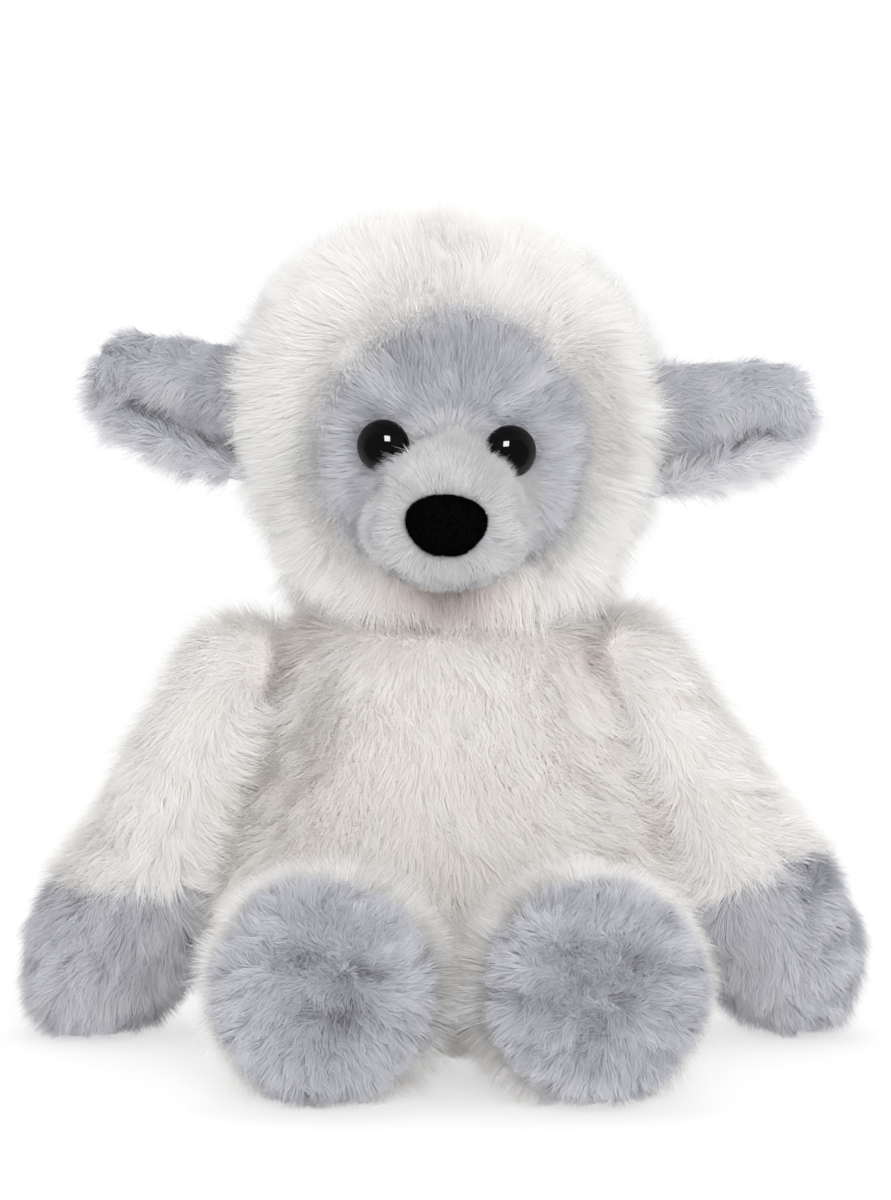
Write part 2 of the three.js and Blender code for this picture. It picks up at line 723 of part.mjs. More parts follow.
function legPieces(name, side) {
  const across = (side * hipSpacing) / 2;
  const front = reachAt(bodyForm, across, hipHeight + groundCut);
  const point = new THREE.Vector3(across, -front - hipClearance, hipHeight);
  const ahead = new THREE.Vector3(0, -1, 0);
  ahead.applyAxisAngle(new THREE.Vector3(-1, 0, 0), radians(legRiseDegrees));
  ahead.applyAxisAngle(new THREE.Vector3(0, 0, side), radians(legSplayDegrees[name]));
  return limbPieces({
    form: { shares: legShares, length: legReach + legRootDepth, width: legWidth, depth: legHeight },
    root: legRootDepth,
    frame: frameAlong(point, ahead, new THREE.Vector3(1, 0, 0)),
    hinge: { point, axis: new THREE.Vector3(-1, 0, 0), from: -legDropDegrees, to: legLiftDegrees },
    reach: soleReach,
    obstacle: (distance) => bodyLayer(-seamGap - distance),
    names: ["leg_fleece_" + name, "sole_" + name, "leg_stuffing_" + name],
    colours: [finishes.fleece, finishes.greyPlush],
  });
}

// The tail hangs against the back from its own seam.
function tailPieces() {
  const back = reachAt(bodyForm, 0, tailHeight + groundCut);
  const point = new THREE.Vector3(0, back + tailClearance, tailHeight);
  const down = new THREE.Vector3(0, 0, -1);
  down.applyAxisAngle(new THREE.Vector3(1, 0, 0), radians(tailHangDegrees));
  const frame = frameAlong(point, down, new THREE.Vector3(1, 0, 0));
  const form = { shares: tailShares, length: tailLength + tailRootDepth, width: tailWidth, depth: tailDepth };
  const hinge = { point, axis: new THREE.Vector3(1, 0, 0), from: 0, to: tailLiftDegrees };
  const made = solid(stuffedForm(form, smallSides).translate(0, 0, -tailRootDepth), frame);
  return [piece("tail", clearOf(made, bodyLayer(-seamGap), hinge), finishes.fleece)];
}

const sheep = new THREE.Group();
sheep.add(...bodyPieces(), ...headPieces(), ...tailPieces());
for (const [name, side] of Object.entries(sideSigns)) {
  sheep.add(...earPieces(name, side), ...armPieces(name, side), ...legPieces(name, side));
}

export default sheep;
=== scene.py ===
# %% [markdown]
# # A plush sheep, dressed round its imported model
# The toy is sewn from plush cloth over polyester stuffing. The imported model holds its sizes, seams
# and joints, so this script never measures the toy again: it loads that model as a fixed frame,
# makes the cloth, the pile, the eyes and the nose round it, and lets each piece ride on its body.

import json
import math
from itertools import product

import bpy
import numpy as np
from mathutils import Euler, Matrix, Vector
from mathutils.bvhtree import BVHTree


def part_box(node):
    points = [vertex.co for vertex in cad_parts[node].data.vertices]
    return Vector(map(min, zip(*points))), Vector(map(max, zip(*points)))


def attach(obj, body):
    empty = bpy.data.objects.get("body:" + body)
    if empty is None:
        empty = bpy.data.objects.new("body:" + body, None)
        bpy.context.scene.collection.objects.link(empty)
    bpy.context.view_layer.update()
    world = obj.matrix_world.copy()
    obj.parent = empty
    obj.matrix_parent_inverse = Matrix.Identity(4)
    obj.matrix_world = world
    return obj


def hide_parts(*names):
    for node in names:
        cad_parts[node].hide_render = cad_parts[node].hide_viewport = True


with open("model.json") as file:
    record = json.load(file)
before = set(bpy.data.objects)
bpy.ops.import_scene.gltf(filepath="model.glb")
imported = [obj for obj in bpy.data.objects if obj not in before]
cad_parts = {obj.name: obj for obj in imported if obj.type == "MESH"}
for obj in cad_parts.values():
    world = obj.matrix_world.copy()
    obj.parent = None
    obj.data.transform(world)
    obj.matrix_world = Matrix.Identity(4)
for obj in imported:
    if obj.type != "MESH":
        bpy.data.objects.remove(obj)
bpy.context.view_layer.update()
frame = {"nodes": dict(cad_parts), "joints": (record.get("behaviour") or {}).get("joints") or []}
nodes = frame["nodes"]
joints = {joint["name"]: joint for joint in frame["joints"]}
sides = ("left", "right")
mm = 0.001

# %% [markdown]
# The camera comes first, so that every later look is judged from the photograph's own place. The
# toy was photographed from a little above, with a long lens. A long lens makes near and far parts
# about the same size, which is why it is used for products.

# %% The camera
frame_height = 1200  # pixels of the photograph's long side
sensor = 36.0  # mm on the long side
camera_distance = 1600 * mm
camera_rise = math.radians(6.8)
pixel_size = 0.29 * mm  # at the toy's middle
aim = Vector((-1.3, 0, 126.3)) * mm


def placed(name, data):
    """Puts data into the scene as an object, both under one name."""
    made = bpy.data.objects.new(name, data)
    data.name = name
    bpy.context.scene.collection.objects.link(made)
    return made


camera = bpy.data.cameras.new("camera")
camera.sensor_fit = "AUTO"
camera.sensor_width = sensor
camera.lens = sensor * camera_distance / (pixel_size * frame_height)
camera_object = placed("camera", camera)
back_and_up = Vector((0, -math.cos(camera_rise), math.sin(camera_rise)))
camera_object.location = aim + camera_distance * back_and_up
camera_object.rotation_euler = Euler((math.pi / 2 - camera_rise, 0, 0))
bpy.context.scene.camera = camera_object
print("lens", round(camera.lens, 1), "mm")

# %% [markdown]
# Shader maths reads best as plain expressions. This small class wraps a socket, so that `a * 0.5`
# adds a Math node. Every other node comes from one method, `node`, which takes the node's type, its
# settings and what goes into its sockets. `_0` means the socket of that number.

# %% A socket that can be written in sums
class Shade:
    """A node socket of one material, with its operators."""

    def __init__(self, tree, socket=None):
        self.tree = tree
        self.socket = socket

    def node(self, kind, settings=None, output=0, **inputs):
        made = self.tree.nodes.new(kind)
        for key, value in (settings or {}).items():
            if key == "ramp":
                self.fill_ramp(made.color_ramp, value)
            else:
                setattr(made, key, value)
        for key, value in inputs.items():
            place = int(key[1:]) if key[0] == "_" else key.replace("_", " ")
            if isinstance(value, Shade):
                self.tree.links.new(value.socket, made.inputs[place])
            else:
                made.inputs[place].default_value = value
        return Shade(self.tree, made.outputs[output])

    @staticmethod
    def fill_ramp(ramp, stops):
        while len(ramp.elements) < len(stops):
            ramp.elements.new(0.5)
        while len(ramp.elements) > len(stops):
            ramp.elements.remove(ramp.elements[-1])
        for element, (place, colour) in zip(ramp.elements, stops):
            element.position = place
            element.color = (*colour, 1)

    def into(self, socket):
        self.tree.links.new(self.socket, socket)

    def maths(self, operation, *values, kind="ShaderNodeMath", output=0):
        inputs = {f"_{place}": value for place, value in enumerate(values)}
        return self.node(kind, {"operation": operation}, output, **inputs)

    def vector(self, operation, *values, output=0):
        return self.maths(operation, *values, kind="ShaderNodeVectorMath", output=output)

    def on_piece(self):
        """Where a point of the piece is, in the piece's own axes."""
        return self.node("ShaderNodeTexCoord", output=3)

    def __add__(self, other):
        return self.maths("ADD", self, other)

    __radd__ = __add__

    def __mul__(self, other):
        return self.maths("MULTIPLY", self, other)

    __rmul__ = __mul__

    def __sub__(self, other):
        return self.maths("SUBTRACT", self, other)

    def __rsub__(self, other):
        return self.maths("SUBTRACT", other, self)


def finish_of(name, roughness, **uniform):
    """A new material, its tree and its shader, which holds what is the same all over."""
    material = bpy.data.materials.new(name)
    material.use_nodes = True
    shader = material.node_tree.nodes["Principled BSDF"]
    shader.inputs["Roughness"].default_value = roughness
    for key, value in uniform.items():
        shader.inputs[key.replace("_", " ")].default_value = value
    return material, Shade(material.node_tree), shader


# %% [markdown]
# Pile is thousands of fine fibres. Light passes through each fibre as well as off it, which is why
# plush has bright, soft edges. So the shader mixes a matt surface with a translucent one. Each
# fibre has its own place on a small colour chart: across the chart runs the tint, and up the chart
# runs the way from the fibre's root to its tip.

# %% Pile finishes
def pile_finish(name, chart_stops, through=0.4, gloss=0.02):
    """Fibres coloured by a chart. Each stop has a tint, the root's colour and the tip's."""
    material, shade, shader = finish_of(name, 0.85, Specular_IOR_Level=gloss)
    chart = shade.node("ShaderNodeUVMap", {"uv_map": "OFBake"})
    across = shade.node("ShaderNodeSeparateXYZ", Vector=chart)
    along = Shade(shade.tree, across.socket.node.outputs[1])
    roots = [(tint, root) for tint, root, _ in chart_stops]
    tips = [(tint, tip) for tint, _, tip in chart_stops]
    low = shade.node("ShaderNodeValToRGB", {"ramp": roots}, Fac=across)
    high = shade.node("ShaderNodeValToRGB", {"ramp": tips}, Fac=across)
    # Roots are darker than tips: the fibres' own tone, and painted shade deep in the pile.
    colour = shade.node("ShaderNodeMix", {"data_type": "RGBA"}, 2, _0=along, _6=low, _7=high)
    colour.into(shader.inputs["Base Color"])
    behind = shade.node("ShaderNodeBsdfTranslucent", Color=colour)
    front = Shade(shade.tree, shader.outputs[0])
    both = shade.node("ShaderNodeMixShader", Fac=through, _1=front, _2=behind)
    both.into(shade.tree.nodes["Material Output"].inputs["Surface"])
    return material


fleece = pile_finish("fleece_pile", [
    (0.0, (0.66, 0.61, 0.58), (0.76, 0.71, 0.68)),
    (0.15, (0.95, 0.88, 0.87), (0.97, 0.93, 0.92)),
    (0.4, (0.982, 0.962, 0.942), (0.989, 0.976, 0.961)),
    (1.0, (0.986, 0.982, 0.976), (0.993, 0.991, 0.988)),
])
grey_pile = pile_finish("grey_pile", [
    (0.0, (0.18, 0.18, 0.20), (0.26, 0.26, 0.285)),
    (0.1, (0.53, 0.535, 0.575), (0.635, 0.64, 0.685)),
    (0.5, (0.735, 0.74, 0.775), (0.83, 0.835, 0.862)),
    (1.0, (0.92, 0.92, 0.925), (0.955, 0.955, 0.957)),
])
pale_pile = pile_finish("pale_pile", [
    (0.0, (0.50, 0.485, 0.485), (0.60, 0.585, 0.585)),
    (0.5, (0.70, 0.70, 0.705), (0.79, 0.79, 0.797)),
    (1.0, (0.90, 0.90, 0.90), (0.94, 0.94, 0.94)),
])
soot, dark_brown = (0.001, 0.001, 0.001), (0.004, 0.003, 0.004)
flock = pile_finish("flock_pile", [(0.0, soot, dark_brown)], through=0.1, gloss=0)
print("finishes:", fleece.name, grey_pile.name, pale_pile.name, flock.name)

# %% [markdown]
# Backing cloth is the knitted base that the pile stands in. It shows only where the pile parts, so
# a mottled colour and a fine bump are enough. The washers' plastic and the carded stuffing get the
# same kind of finish, each with its own scale.

# %% Cloth, stuffing and moulded finishes
def patterned(shade, shader, pattern, stops, bump, depth):
    """Colour and relief that both follow one pattern."""
    colour = shade.node("ShaderNodeValToRGB", {"ramp": stops}, Fac=pattern)
    colour.into(shader.inputs["Base Color"])
    relief = shade.node("ShaderNodeBump", Strength=bump, Distance=depth, Height=pattern)
    relief.into(shader.inputs["Normal"])


def mottled_finish(name, dark, light, scale, roughness, bump, depth, gloss=0.2):
    """A finish whose colour and surface wander between two shades."""
    material, shade, shader = finish_of(name, roughness, Specular_IOR_Level=gloss)
    noise = shade.node("ShaderNodeTexNoise", Vector=shade.on_piece(), Scale=scale, Detail=3.0)
    patterned(shade, shader, noise, [(0.3, dark), (0.7, light)], bump, depth)
    return material


knit = dict(scale=420, roughness=0.95, bump=0.4, depth=0.5 * mm)
white_cloth = mottled_finish("white_backing", (0.92, 0.88, 0.88), (0.96, 0.94, 0.93), **knit)
grey_cloth = mottled_finish("grey_backing", (0.50, 0.51, 0.55), (0.66, 0.67, 0.70), **knit)
stuffing = mottled_finish(
    "carded_fibre", (0.80, 0.80, 0.78), (0.95, 0.95, 0.93), 90, 1.0, bump=0.8, depth=2 * mm
)
washer_plastic = mottled_finish(
    "moulded_washer", (0.80, 0.79, 0.75), (0.86, 0.85, 0.81), 60, 0.45, bump=0.1, depth=0.1 * mm
)
print("finishes:", white_cloth.name, grey_cloth.name, stuffing.name, washer_plastic.name)

# %% [markdown]
# The pellet bag is cotton calico. A plain weave is two sets of threads that cross, so two sets of
# waves are multiplied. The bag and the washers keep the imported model's own shapes.

# %% The weave of the pellet bag
def calico_finish(name, dark, light, thread):
    material, shade, shader = finish_of(name, 0.9, Specular_IOR_Level=0.2)
    place = shade.on_piece()
    warp, weft = (
        shade.node("ShaderNodeTexWave", {"bands_direction": way}, 1, Vector=place, Scale=thread)
        for way in ("X", "Z")
    )
    patterned(shade, shader, warp * weft, [(0.0, dark), (0.6, light)], bump=0.6, depth=0.3 * mm)
    return material


calico = calico_finish("calico_weave", (0.60, 0.54, 0.43), (0.80, 0.75, 0.64), 320)
for name, node in nodes.items():
    if "washer" in name or name == "pellet_bag":
        node.data.materials.clear()
        node.data.materials.append(calico if name == "pellet_bag" else washer_plastic)
print("plain finishes set on the washers and the pellet bag")

# %% [markdown]
# The cloth of each part is one stuffed skin. Copies of the part's cover and stuffing are joined,
# and a voxel remesh melts them into one closed form. The form is then drawn in by the depth of the
# pile, so that the fibres' tips end where the plush ends on the real toy. Beside another part the
# pile is pressed flat, so there the skin keeps nearly its full size. Under the toy the pile is
# pressed too, but it keeps more depth, because a raised leg shows it.

# %% Helpers for meshes
def deselect_all():
    if bpy.context.mode != "OBJECT":
        bpy.ops.object.mode_set(mode="OBJECT")
    bpy.ops.object.select_all(action="DESELECT")


def chosen(piece):
    deselect_all()
    piece.select_set(True)
    bpy.context.view_layer.objects.active = piece


def apply(piece, kind, **settings):
    """Adds a modifier with its settings and applies it."""
    chosen(piece)
    modifier = piece.modifiers.new(kind.lower(), kind)
    for key, value in settings.items():
        setattr(modifier, key, value)
    bpy.ops.object.modifier_apply(modifier=modifier.name)


def points_of(mesh, key="co"):
    found = np.empty(len(mesh.vertices) * 3)
    mesh.vertices.foreach_get(key, found)
    return found.reshape(-1, 3)


def normals_of(mesh):
    return points_of(mesh, "normal")


def set_points(mesh, places):
    mesh.vertices.foreach_set("co", np.ascontiguousarray(places).ravel())
    mesh.update()


def melted(name, names, voxel, rounds):
    """Copies of several nodes' meshes, melted into one closed smooth form."""
    form, *others = [placed(name, nodes[node].data.copy()) for node in names]
    chosen(form)
    for other in others:
        other.select_set(True)
    bpy.ops.object.join()
    bpy.ops.object.mode_set(mode="EDIT")
    bpy.ops.mesh.select_all(action="SELECT")
    bpy.ops.mesh.remove_doubles(threshold=0.01 * mm)
    bpy.ops.object.mode_set(mode="OBJECT")
    form.data.materials.clear()
    apply(form, "REMESH", mode="VOXEL", voxel_size=voxel)
    apply(form, "SMOOTH", factor=0.5, iterations=rounds)
    bpy.ops.object.shade_smooth()
    return form


# %% Helpers for places
down = np.array([0, 0, -1.0])


def unit(vectors):
    return vectors / np.maximum(np.linalg.norm(vectors, axis=-1, keepdims=True), 1e-9)


def flat_on(vectors, normals):
    """The part of each vector that lies in its surface."""
    return vectors - (vectors * normals).sum(1, keepdims=True) * normals


def aside(places, start, way):
    """How each place lies beside a line that leaves a start in one way."""
    return places - start - np.outer((places - start) @ way, way)


def rising(far, width):
    """0 up to 0, then rising evenly to 1 at the width."""
    return (far / width).clip(0, 1)


def bell(far, width):
    """1 at 0, falling softly to nearly 0 at twice the width on either side."""
    return np.exp(-((far / width) ** 2))


def even(value):
    return lambda places: np.full(len(places), value)


# %% How open each place of a skin is
open_reach = 17 * mm  # beyond this from another part, the pile stands free
ground_turn = 15 * mm  # how far from the ground a side that faces level counts


def openness(places, normals, others):
    """0 where a place touches another part or the ground, and 1 where it stands free."""
    far = places[:, 2] + ground_turn * (1 + normals[:, 2])
    for name in others:
        mesh = nodes[name].data
        corners = [vertex.co for vertex in mesh.vertices]
        tree = BVHTree.FromPolygons(corners, [face.vertices for face in mesh.polygons])
        far = np.minimum(far, [tree.find_nearest(place)[3] for place in places])
    share = rising(far, open_reach)
    return share * share * (3 - 2 * share)


def mark_open(skin, free):
    skin.data.attributes.new("open", "FLOAT", "POINT").data.foreach_set("value", free)


# %% Stuffed skins
pressed_depth = 2 * mm  # of the pile between two parts
sat_on_depth = 4.5 * mm  # of the pile between a part and the ground
sat_on_height = 12 * mm  # above this, nothing is sat on
filling_inset = 1.2 * mm  # of the stuffing, inside its cloth


def dress(skin, body, cloth, covers, filled):
    """Lets a skin stand for its covers, and a copy of it inside stand for their stuffing."""
    if filled:
        filling = placed(filled.replace("stuffing", "filling"), skin.data.copy())
        mesh = filling.data
        set_points(mesh, points_of(mesh) - filling_inset * normals_of(mesh))
        apply(filling, "DECIMATE", ratio=0.4)
        mesh.materials.append(stuffing)
        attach(filling, body)
        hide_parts(filled)
    skin.data.materials.append(cloth)
    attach(skin, body)
    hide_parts(*covers)


def stuffed(
    name, body, covers, filled, others, voxel, depth,
    rounds=6, shape=None, cloth=white_cloth,
):
    """The dressed skin of a part, drawn in by its pile's depth. others are what presses on it."""
    form = melted(name, covers + ([filled] if filled else []), voxel, rounds)
    if shape:
        set_points(form.data, shape(points_of(form.data), normals_of(form.data)))
    places, normals = points_of(form.data), normals_of(form.data)
    free = openness(places, normals, others)
    inset = pressed_depth + (depth(places) - pressed_depth) * free
    under = rising(-normals[:, 2] - 0.4, 0.3) * (places[:, 2] < sat_on_height)
    inset = np.maximum(inset, sat_on_depth * under)
    set_points(form.data, places - normals * inset[:, None])
    mark_open(form, free)
    apply(form, "SMOOTH", factor=0.5, iterations=3)
    dress(form, body, cloth, covers, filled)
    print(name, len(form.data.vertices), "points")
    return form


def line_with(skin, cloth, zone):
    """Gives a second cloth to the faces of a skin whose middles lie in a zone."""
    skin.data.materials.append(cloth)
    faces = skin.data.polygons
    inside = zone(np.array([face.center for face in faces]))
    faces.foreach_set("material_index", inside.astype(np.int32))


# %% [markdown]
# 640,000 fibres can't be modelled by hand, so the pile is a formula. Roots are scattered over the
# cloth by area, so that every piece's pile is as dense as it should be. What differs from tuft to
# tuft comes from smooth waves and seeded chance, so that each run gives the same toy.

# %% Smooth and shared chance
def wander(places, span, seed):
    """A smooth random vector for each place, which changes over about that span."""
    rng = np.random.default_rng(seed)
    total = np.zeros_like(places)
    for octave, strength in ((1.0, 1.0), (2.1, 0.5)):
        waves = rng.normal(size=(5, 3)) * (octave * 2.2 / span)
        for wave in waves:
            turns = rng.uniform(0, 2 * math.pi, 3)
            total += strength * np.sin((places @ wave)[:, None] + turns)
    return total / 2.4


def ragged(places, amount, seed):
    """A small uneven shift, which keeps a border between two piles from being a clean line."""
    return amount * wander(places, 6 * mm, seed)[:, 0]


def hashed(cells, seed):
    """Three even random numbers for each whole-numbered cell."""
    mixed_up = (cells @ np.array([73856093, 19349663, 83492791]) + seed * 7919).astype(np.int64)
    parts = [np.sin(mixed_up % 100003 * k + seed) * 43758.5453 for k in (12.9898, 78.233, 37.719)]
    return np.stack([part - np.floor(part) for part in parts], 1)


def tufts(places, size, seed):
    """The middle of each place's tuft, and three random numbers that the whole tuft shares."""
    cells = np.floor(places / size).astype(np.int64)
    nearest = np.full(len(places), np.inf)
    middles = np.zeros_like(places)
    own = np.zeros_like(places)
    for step in product((-1, 0, 1), repeat=3):
        around = cells + np.array(step)
        middle = (around + hashed(around, seed)) * size
        away = ((places - middle) ** 2).sum(1)
        closer = away < nearest
        nearest = np.where(closer, away, nearest)
        middles[closer] = middle[closer]
        own[closer] = hashed(around[closer], seed + 1)
    return middles, own


# %% Where the fibres stand
def scattered(skin, per_area, seed):
    """Roots spread evenly over a skin, with the skin's smooth normals and openness there."""
    mesh = skin.data
    mesh.calc_loop_triangles()
    corners = np.empty(len(mesh.loop_triangles) * 3, np.int64)
    mesh.loop_triangles.foreach_get("vertices", corners)
    corners = corners.reshape(-1, 3)
    free = np.empty(len(mesh.vertices))
    mesh.attributes["open"].data.foreach_get("value", free)
    fields = np.column_stack([points_of(mesh), normals_of(mesh), free])[corners]
    a, b, c = fields[:, :, :3].transpose(1, 0, 2)
    reach = np.cumsum(np.linalg.norm(np.cross(b - a, c - a), axis=1) / 2)
    count = int(reach[-1] * per_area)
    rng = np.random.default_rng(seed)
    along = (np.arange(count) + rng.uniform(0, 1, count)) * reach[-1] / count
    face = np.searchsorted(reach, along).clip(0, len(corners) - 1)
    u, v = rng.uniform(0, 1, (2, count))
    over = u + v > 1
    u, v = np.where(over, 1 - u, u), np.where(over, 1 - v, v)
    weights = np.stack([1 - u - v, u, v], 1)
    found = (fields[face] * weights[:, :, None]).sum(1)
    return found[:, :3], unit(found[:, 3:6]), found[:, 6]


# %% [markdown]
# Each fibre leaves its root near the cloth's normal, leans over the way that the pile is combed,
# and is gathered a little towards the middle of its tuft. It bends further over on its way to the
# tip, and no fibre reaches below the ground that the toy sits on.

# %% How the fibres bend
ground = 0.2 * mm  # the lowest that a fibre lies
pressed_range = 2.8 * mm  # how much higher some tufts end where the toy's weight presses them
stray = math.radians(14)  # how far single fibres turn away from their tuft
stray_lean = 10  # degrees that they lean more or less than it
hardest_comb = 1.8  # no comb bends a fibre further than this
pull_at_middle, pull_to_tip = 0.35, 0.65  # shares of the gathering


def bent(roots, normals, free, look, combed, size, tuft, rng):
    """The middle and the tip of each fibre."""
    count = len(roots)
    middles, own = tuft
    strength = np.linalg.norm(combed, axis=1, keepdims=True).clip(0, hardest_comb)
    strength *= 0.7 + 0.3 * rising(free[:, None], 0.7)  # a crease has less room to lie down in
    lay = unit(flat_on(combed, normals) + 1e-6)
    beside = np.cross(normals, lay)
    swerve = np.radians(look["swerve"]) * (2 * own[:, :1] - 1)
    swerve = swerve + stray * rng.normal(size=(count, 1))
    lay = lay * np.cos(swerve) + beside * np.sin(swerve)
    lean = look["lean"] * strength + look["lean_range"] * (own[:, 1:2] - 0.5)
    lean = np.radians(lean + stray_lean * rng.normal(size=(count, 1)))
    curl = np.radians(look["curl"]) * (0.4 + 0.6 * strength)
    length = look["length"] * (0.9 + 0.2 * own[:, 2:3]) * rng.uniform(0.6, 1.1, (count, 1))
    length = length * size[:, None]

    def leaning(angle):
        return 0.5 * length * (normals * np.cos(angle) + lay * np.sin(angle))

    pull = flat_on(middles - roots, normals) * look["gather"]
    middle = roots + leaning(lean) + pull_at_middle * pull
    tip = middle + leaning(lean + curl) + pull_to_tip * pull
    drop = look["droop"] * length[:, 0]
    middle[:, 2] -= 0.3 * drop
    tip[:, 2] -= drop
    lowest = ground + pressed_range * own[:, 1]
    for places in (middle, tip):
        places[:, 2] = np.maximum(places[:, 2], lowest)
    return middle, tip


# %% [markdown]
# A fibre is one tapered blade of five points: two at its root, two at its middle and its tip. They
# share one normal between the cloth's and the blade's own, so that the pile is lit as softly as a
# plush surface is. The blades of a pile are one mesh, or a few where they are too many for one.

# %% From fibres to blades
own_face = 0.9  # how far a blade is lit by its own face as well as by the cloth's normal
middle_width = 0.8  # of the root's width
most_blades = 66000  # in one mesh
chart_width = 0.004  # how much of the chart a blade covers, so that its tint is one


def faced(roots, normals, middle, tip, width, rng):
    """Five corners for each blade, and the normal that it is lit by."""
    count = len(roots)
    along = unit(tip - roots)
    flat = unit(np.cross(along, normals) + 1e-6)
    facing = np.cross(flat, along)
    out = np.where((facing * normals).sum(1, keepdims=True) < 0, -1, 1)
    flat, facing = out * flat, out * facing
    turn = rng.normal(0, 0.4, (count, 1)).clip(-1, 1)
    flat = flat * np.cos(turn) + np.cross(along, flat) * np.sin(turn)
    half = flat * 0.5 * width * rng.uniform(0.75, 1.2, (count, 1))
    wide, narrow = half, middle_width * half
    corners = [roots - wide, roots + wide, middle - narrow, middle + narrow, tip]
    return np.stack(corners, 1), unit(normals + own_face * facing)


def blades(name, corners, normals, tints, finish):
    """A mesh of blades, each with its tint on the colour chart."""
    count = len(corners)
    base = 5 * np.arange(count)[:, None]
    loops = (base + np.array([0, 1, 3, 2, 2, 3, 4])).ravel()
    starts = (7 * np.arange(count)[:, None] + np.array([0, 4])).ravel()
    mesh = bpy.data.meshes.new(name)
    mesh.vertices.add(5 * count)
    mesh.loops.add(7 * count)
    mesh.polygons.add(2 * count)
    mesh.vertices.foreach_set("co", corners.ravel())
    mesh.loops.foreach_set("vertex_index", loops.astype(np.int32))
    mesh.polygons.foreach_set("loop_start", starts.astype(np.int32))
    mesh.update(calc_edges=True)
    u = tints[:, None] + chart_width * np.array([-1, 1, 1, -1, -1, 1, 0])
    v = np.broadcast_to(np.array([0.01, 0.01, 0.5, 0.5, 0.5, 0.5, 0.99]), u.shape)
    chart = mesh.uv_layers.new(name="OFBake")
    chart.uv.foreach_set("vector", np.stack([u, v], 2).astype(np.float32).ravel())
    mesh.polygons.foreach_set("use_smooth", np.ones(2 * count, bool))
    mesh.normals_split_custom_set_from_vertices(np.repeat(normals, 5, 0).astype(np.float32))
    mesh.materials.append(finish)
    return placed(name, mesh)


# %% Grow a pile
touching = 0.06  # openness under which two parts touch
fewest = 0.5  # the share of fibres that stand there, because a pose shows little of them


def grow(name, skin, body, look, comb, seed, where=even(1), tint=None, size=even(1)):
    """A pile of blades on a skin.

    look describes the plush in metres, degrees and shares, and comb gives the way that the pile
    lies at each root, as vectors that are shorter where it stands up.
    """
    thin = 1
    rng = np.random.default_rng(seed + 1)
    roots, normals, free = scattered(skin, look["per_mm2"] / mm**2 * thin, seed)
    wanted = (free / touching).clip(fewest, 1) * where(roots)
    kept = rng.uniform(0, 1, len(roots)) < wanted
    roots, normals, free = roots[kept], normals[kept], free[kept]
    tuft = tufts(roots, look["tuft"], seed)
    middle, tip = bent(roots, normals, free, look, comb(roots), size(roots), tuft, rng)
    width = look["width"] / math.sqrt(thin)
    corners, lit = faced(roots, normals, middle, tip, width, rng)
    tints = tint(roots) if tint else even(look["tint"])(roots)
    chance = tuft[1][:, 0] - 0.5 + 0.4 * rng.normal(size=len(roots))
    tints = (tints + look["tint_range"] * chance).clip(0.02, 0.98)

    round_about = np.argsort(np.arctan2(*(roots - roots.mean(0))[:, :2].T), kind="stable")
    parts = np.array_split(round_about, math.ceil(len(roots) / most_blades))
    for number, part in enumerate(parts, 1):
        own_name = name if len(parts) == 1 else f"{name}_{number}"
        pile = blades(own_name, corners[part], lit[part], tints[part], look["finish"])
        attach(pile, body)
    print(name, len(roots), "fibres")


# %% [markdown]
# The body is a pear, sewn from long fleece whose fibres hang down and out. The fleece is frosted
# with a little pink at its roots, which shows where the fleece parts beside the arms. Its tint
# also paints shade, darker and pinker, in the creases beside the arms and under the chin.

# %% The body
long_fleece = dict(
    finish=fleece, slot="white_fleece", per_mm2=4.2, length=12.5 * mm, width=0.22 * mm,
    lean=34, lean_range=12, curl=26, swerve=30, droop=0.06, tuft=8 * mm, gather=0.05,
    tint=0.8, tint_range=0.16,
)
fleece_depth = 7 * mm
around_body = ["head_fleece", "tail"]
for side in sides:
    around_body += ["sleeve_" + side, "paw_" + side, "leg_fleece_" + side]

body_skin = stuffed(
    "body_cloth", "torso", ["body_fleece"], "body_stuffing", around_body,
    3.5 * mm, even(fleece_depth),
)

neck_height, neck_band = 124 * mm, 9 * mm  # here the fleece stands up against the jaw


def hanging(roots):
    outward = unit(roots * np.array([1, 1, 0]))
    settled = 0.6 * down + 0.3 * outward + 0.25 * wander(roots, 36 * mm, 5)
    return settled * (1 - 0.6 * bell(neck_height - roots[:, 2:], neck_band))


crease_heights = np.array([46, 65, 91, 114]) * mm  # of four places down each crease beside an arm
crease_across = {
    "left": np.array([71, 65, 52, 36]) * mm,
    "right": np.array([71, 57, 45, 35]) * mm,
}
crease_band = 5 * mm
chin_height, chin_band = 118 * mm, 9 * mm


def pink_roots_and_painted_shade(roots):
    """Less tint, so pinker and darker, in patches along the arms' creases and under the chin.

    In the creases that is the fleece's pink roots and painted shade; under the chin, painted shade.
    """
    across, forward, height = roots.T
    left, right = (np.interp(height, crease_heights, crease_across[side]) for side in sides)
    crease = np.minimum(np.abs(across + left), np.abs(across - right))
    under_chin = np.hypot(across / 2, height - chin_height)
    near = bell(crease, crease_band) + bell(under_chin, chin_band)
    patch = (1.6 * wander(roots, 13 * mm, 61)[:, 0] + 0.1).clip(0, 1)
    # A lower tint is pinker and darker: painted shade, with the fleece's pink roots in the creases.
    return 0.55 - 0.38 * patch * near.clip(0, 1) * (forward < 0)


grow("body_pile", body_skin, "torso", long_fleece, hanging, 11, tint=pink_roots_and_painted_shade)

# %% [markdown]
# The head is one ball of fleece with an oval opening, in which the face's shorter grey plush is
# sewn. Piles are told apart by where a root stands on the head: in the oval, on the muzzle, or on
# the hood. The head sits 2.5 degrees askew, so places are turned upright before they are tested.

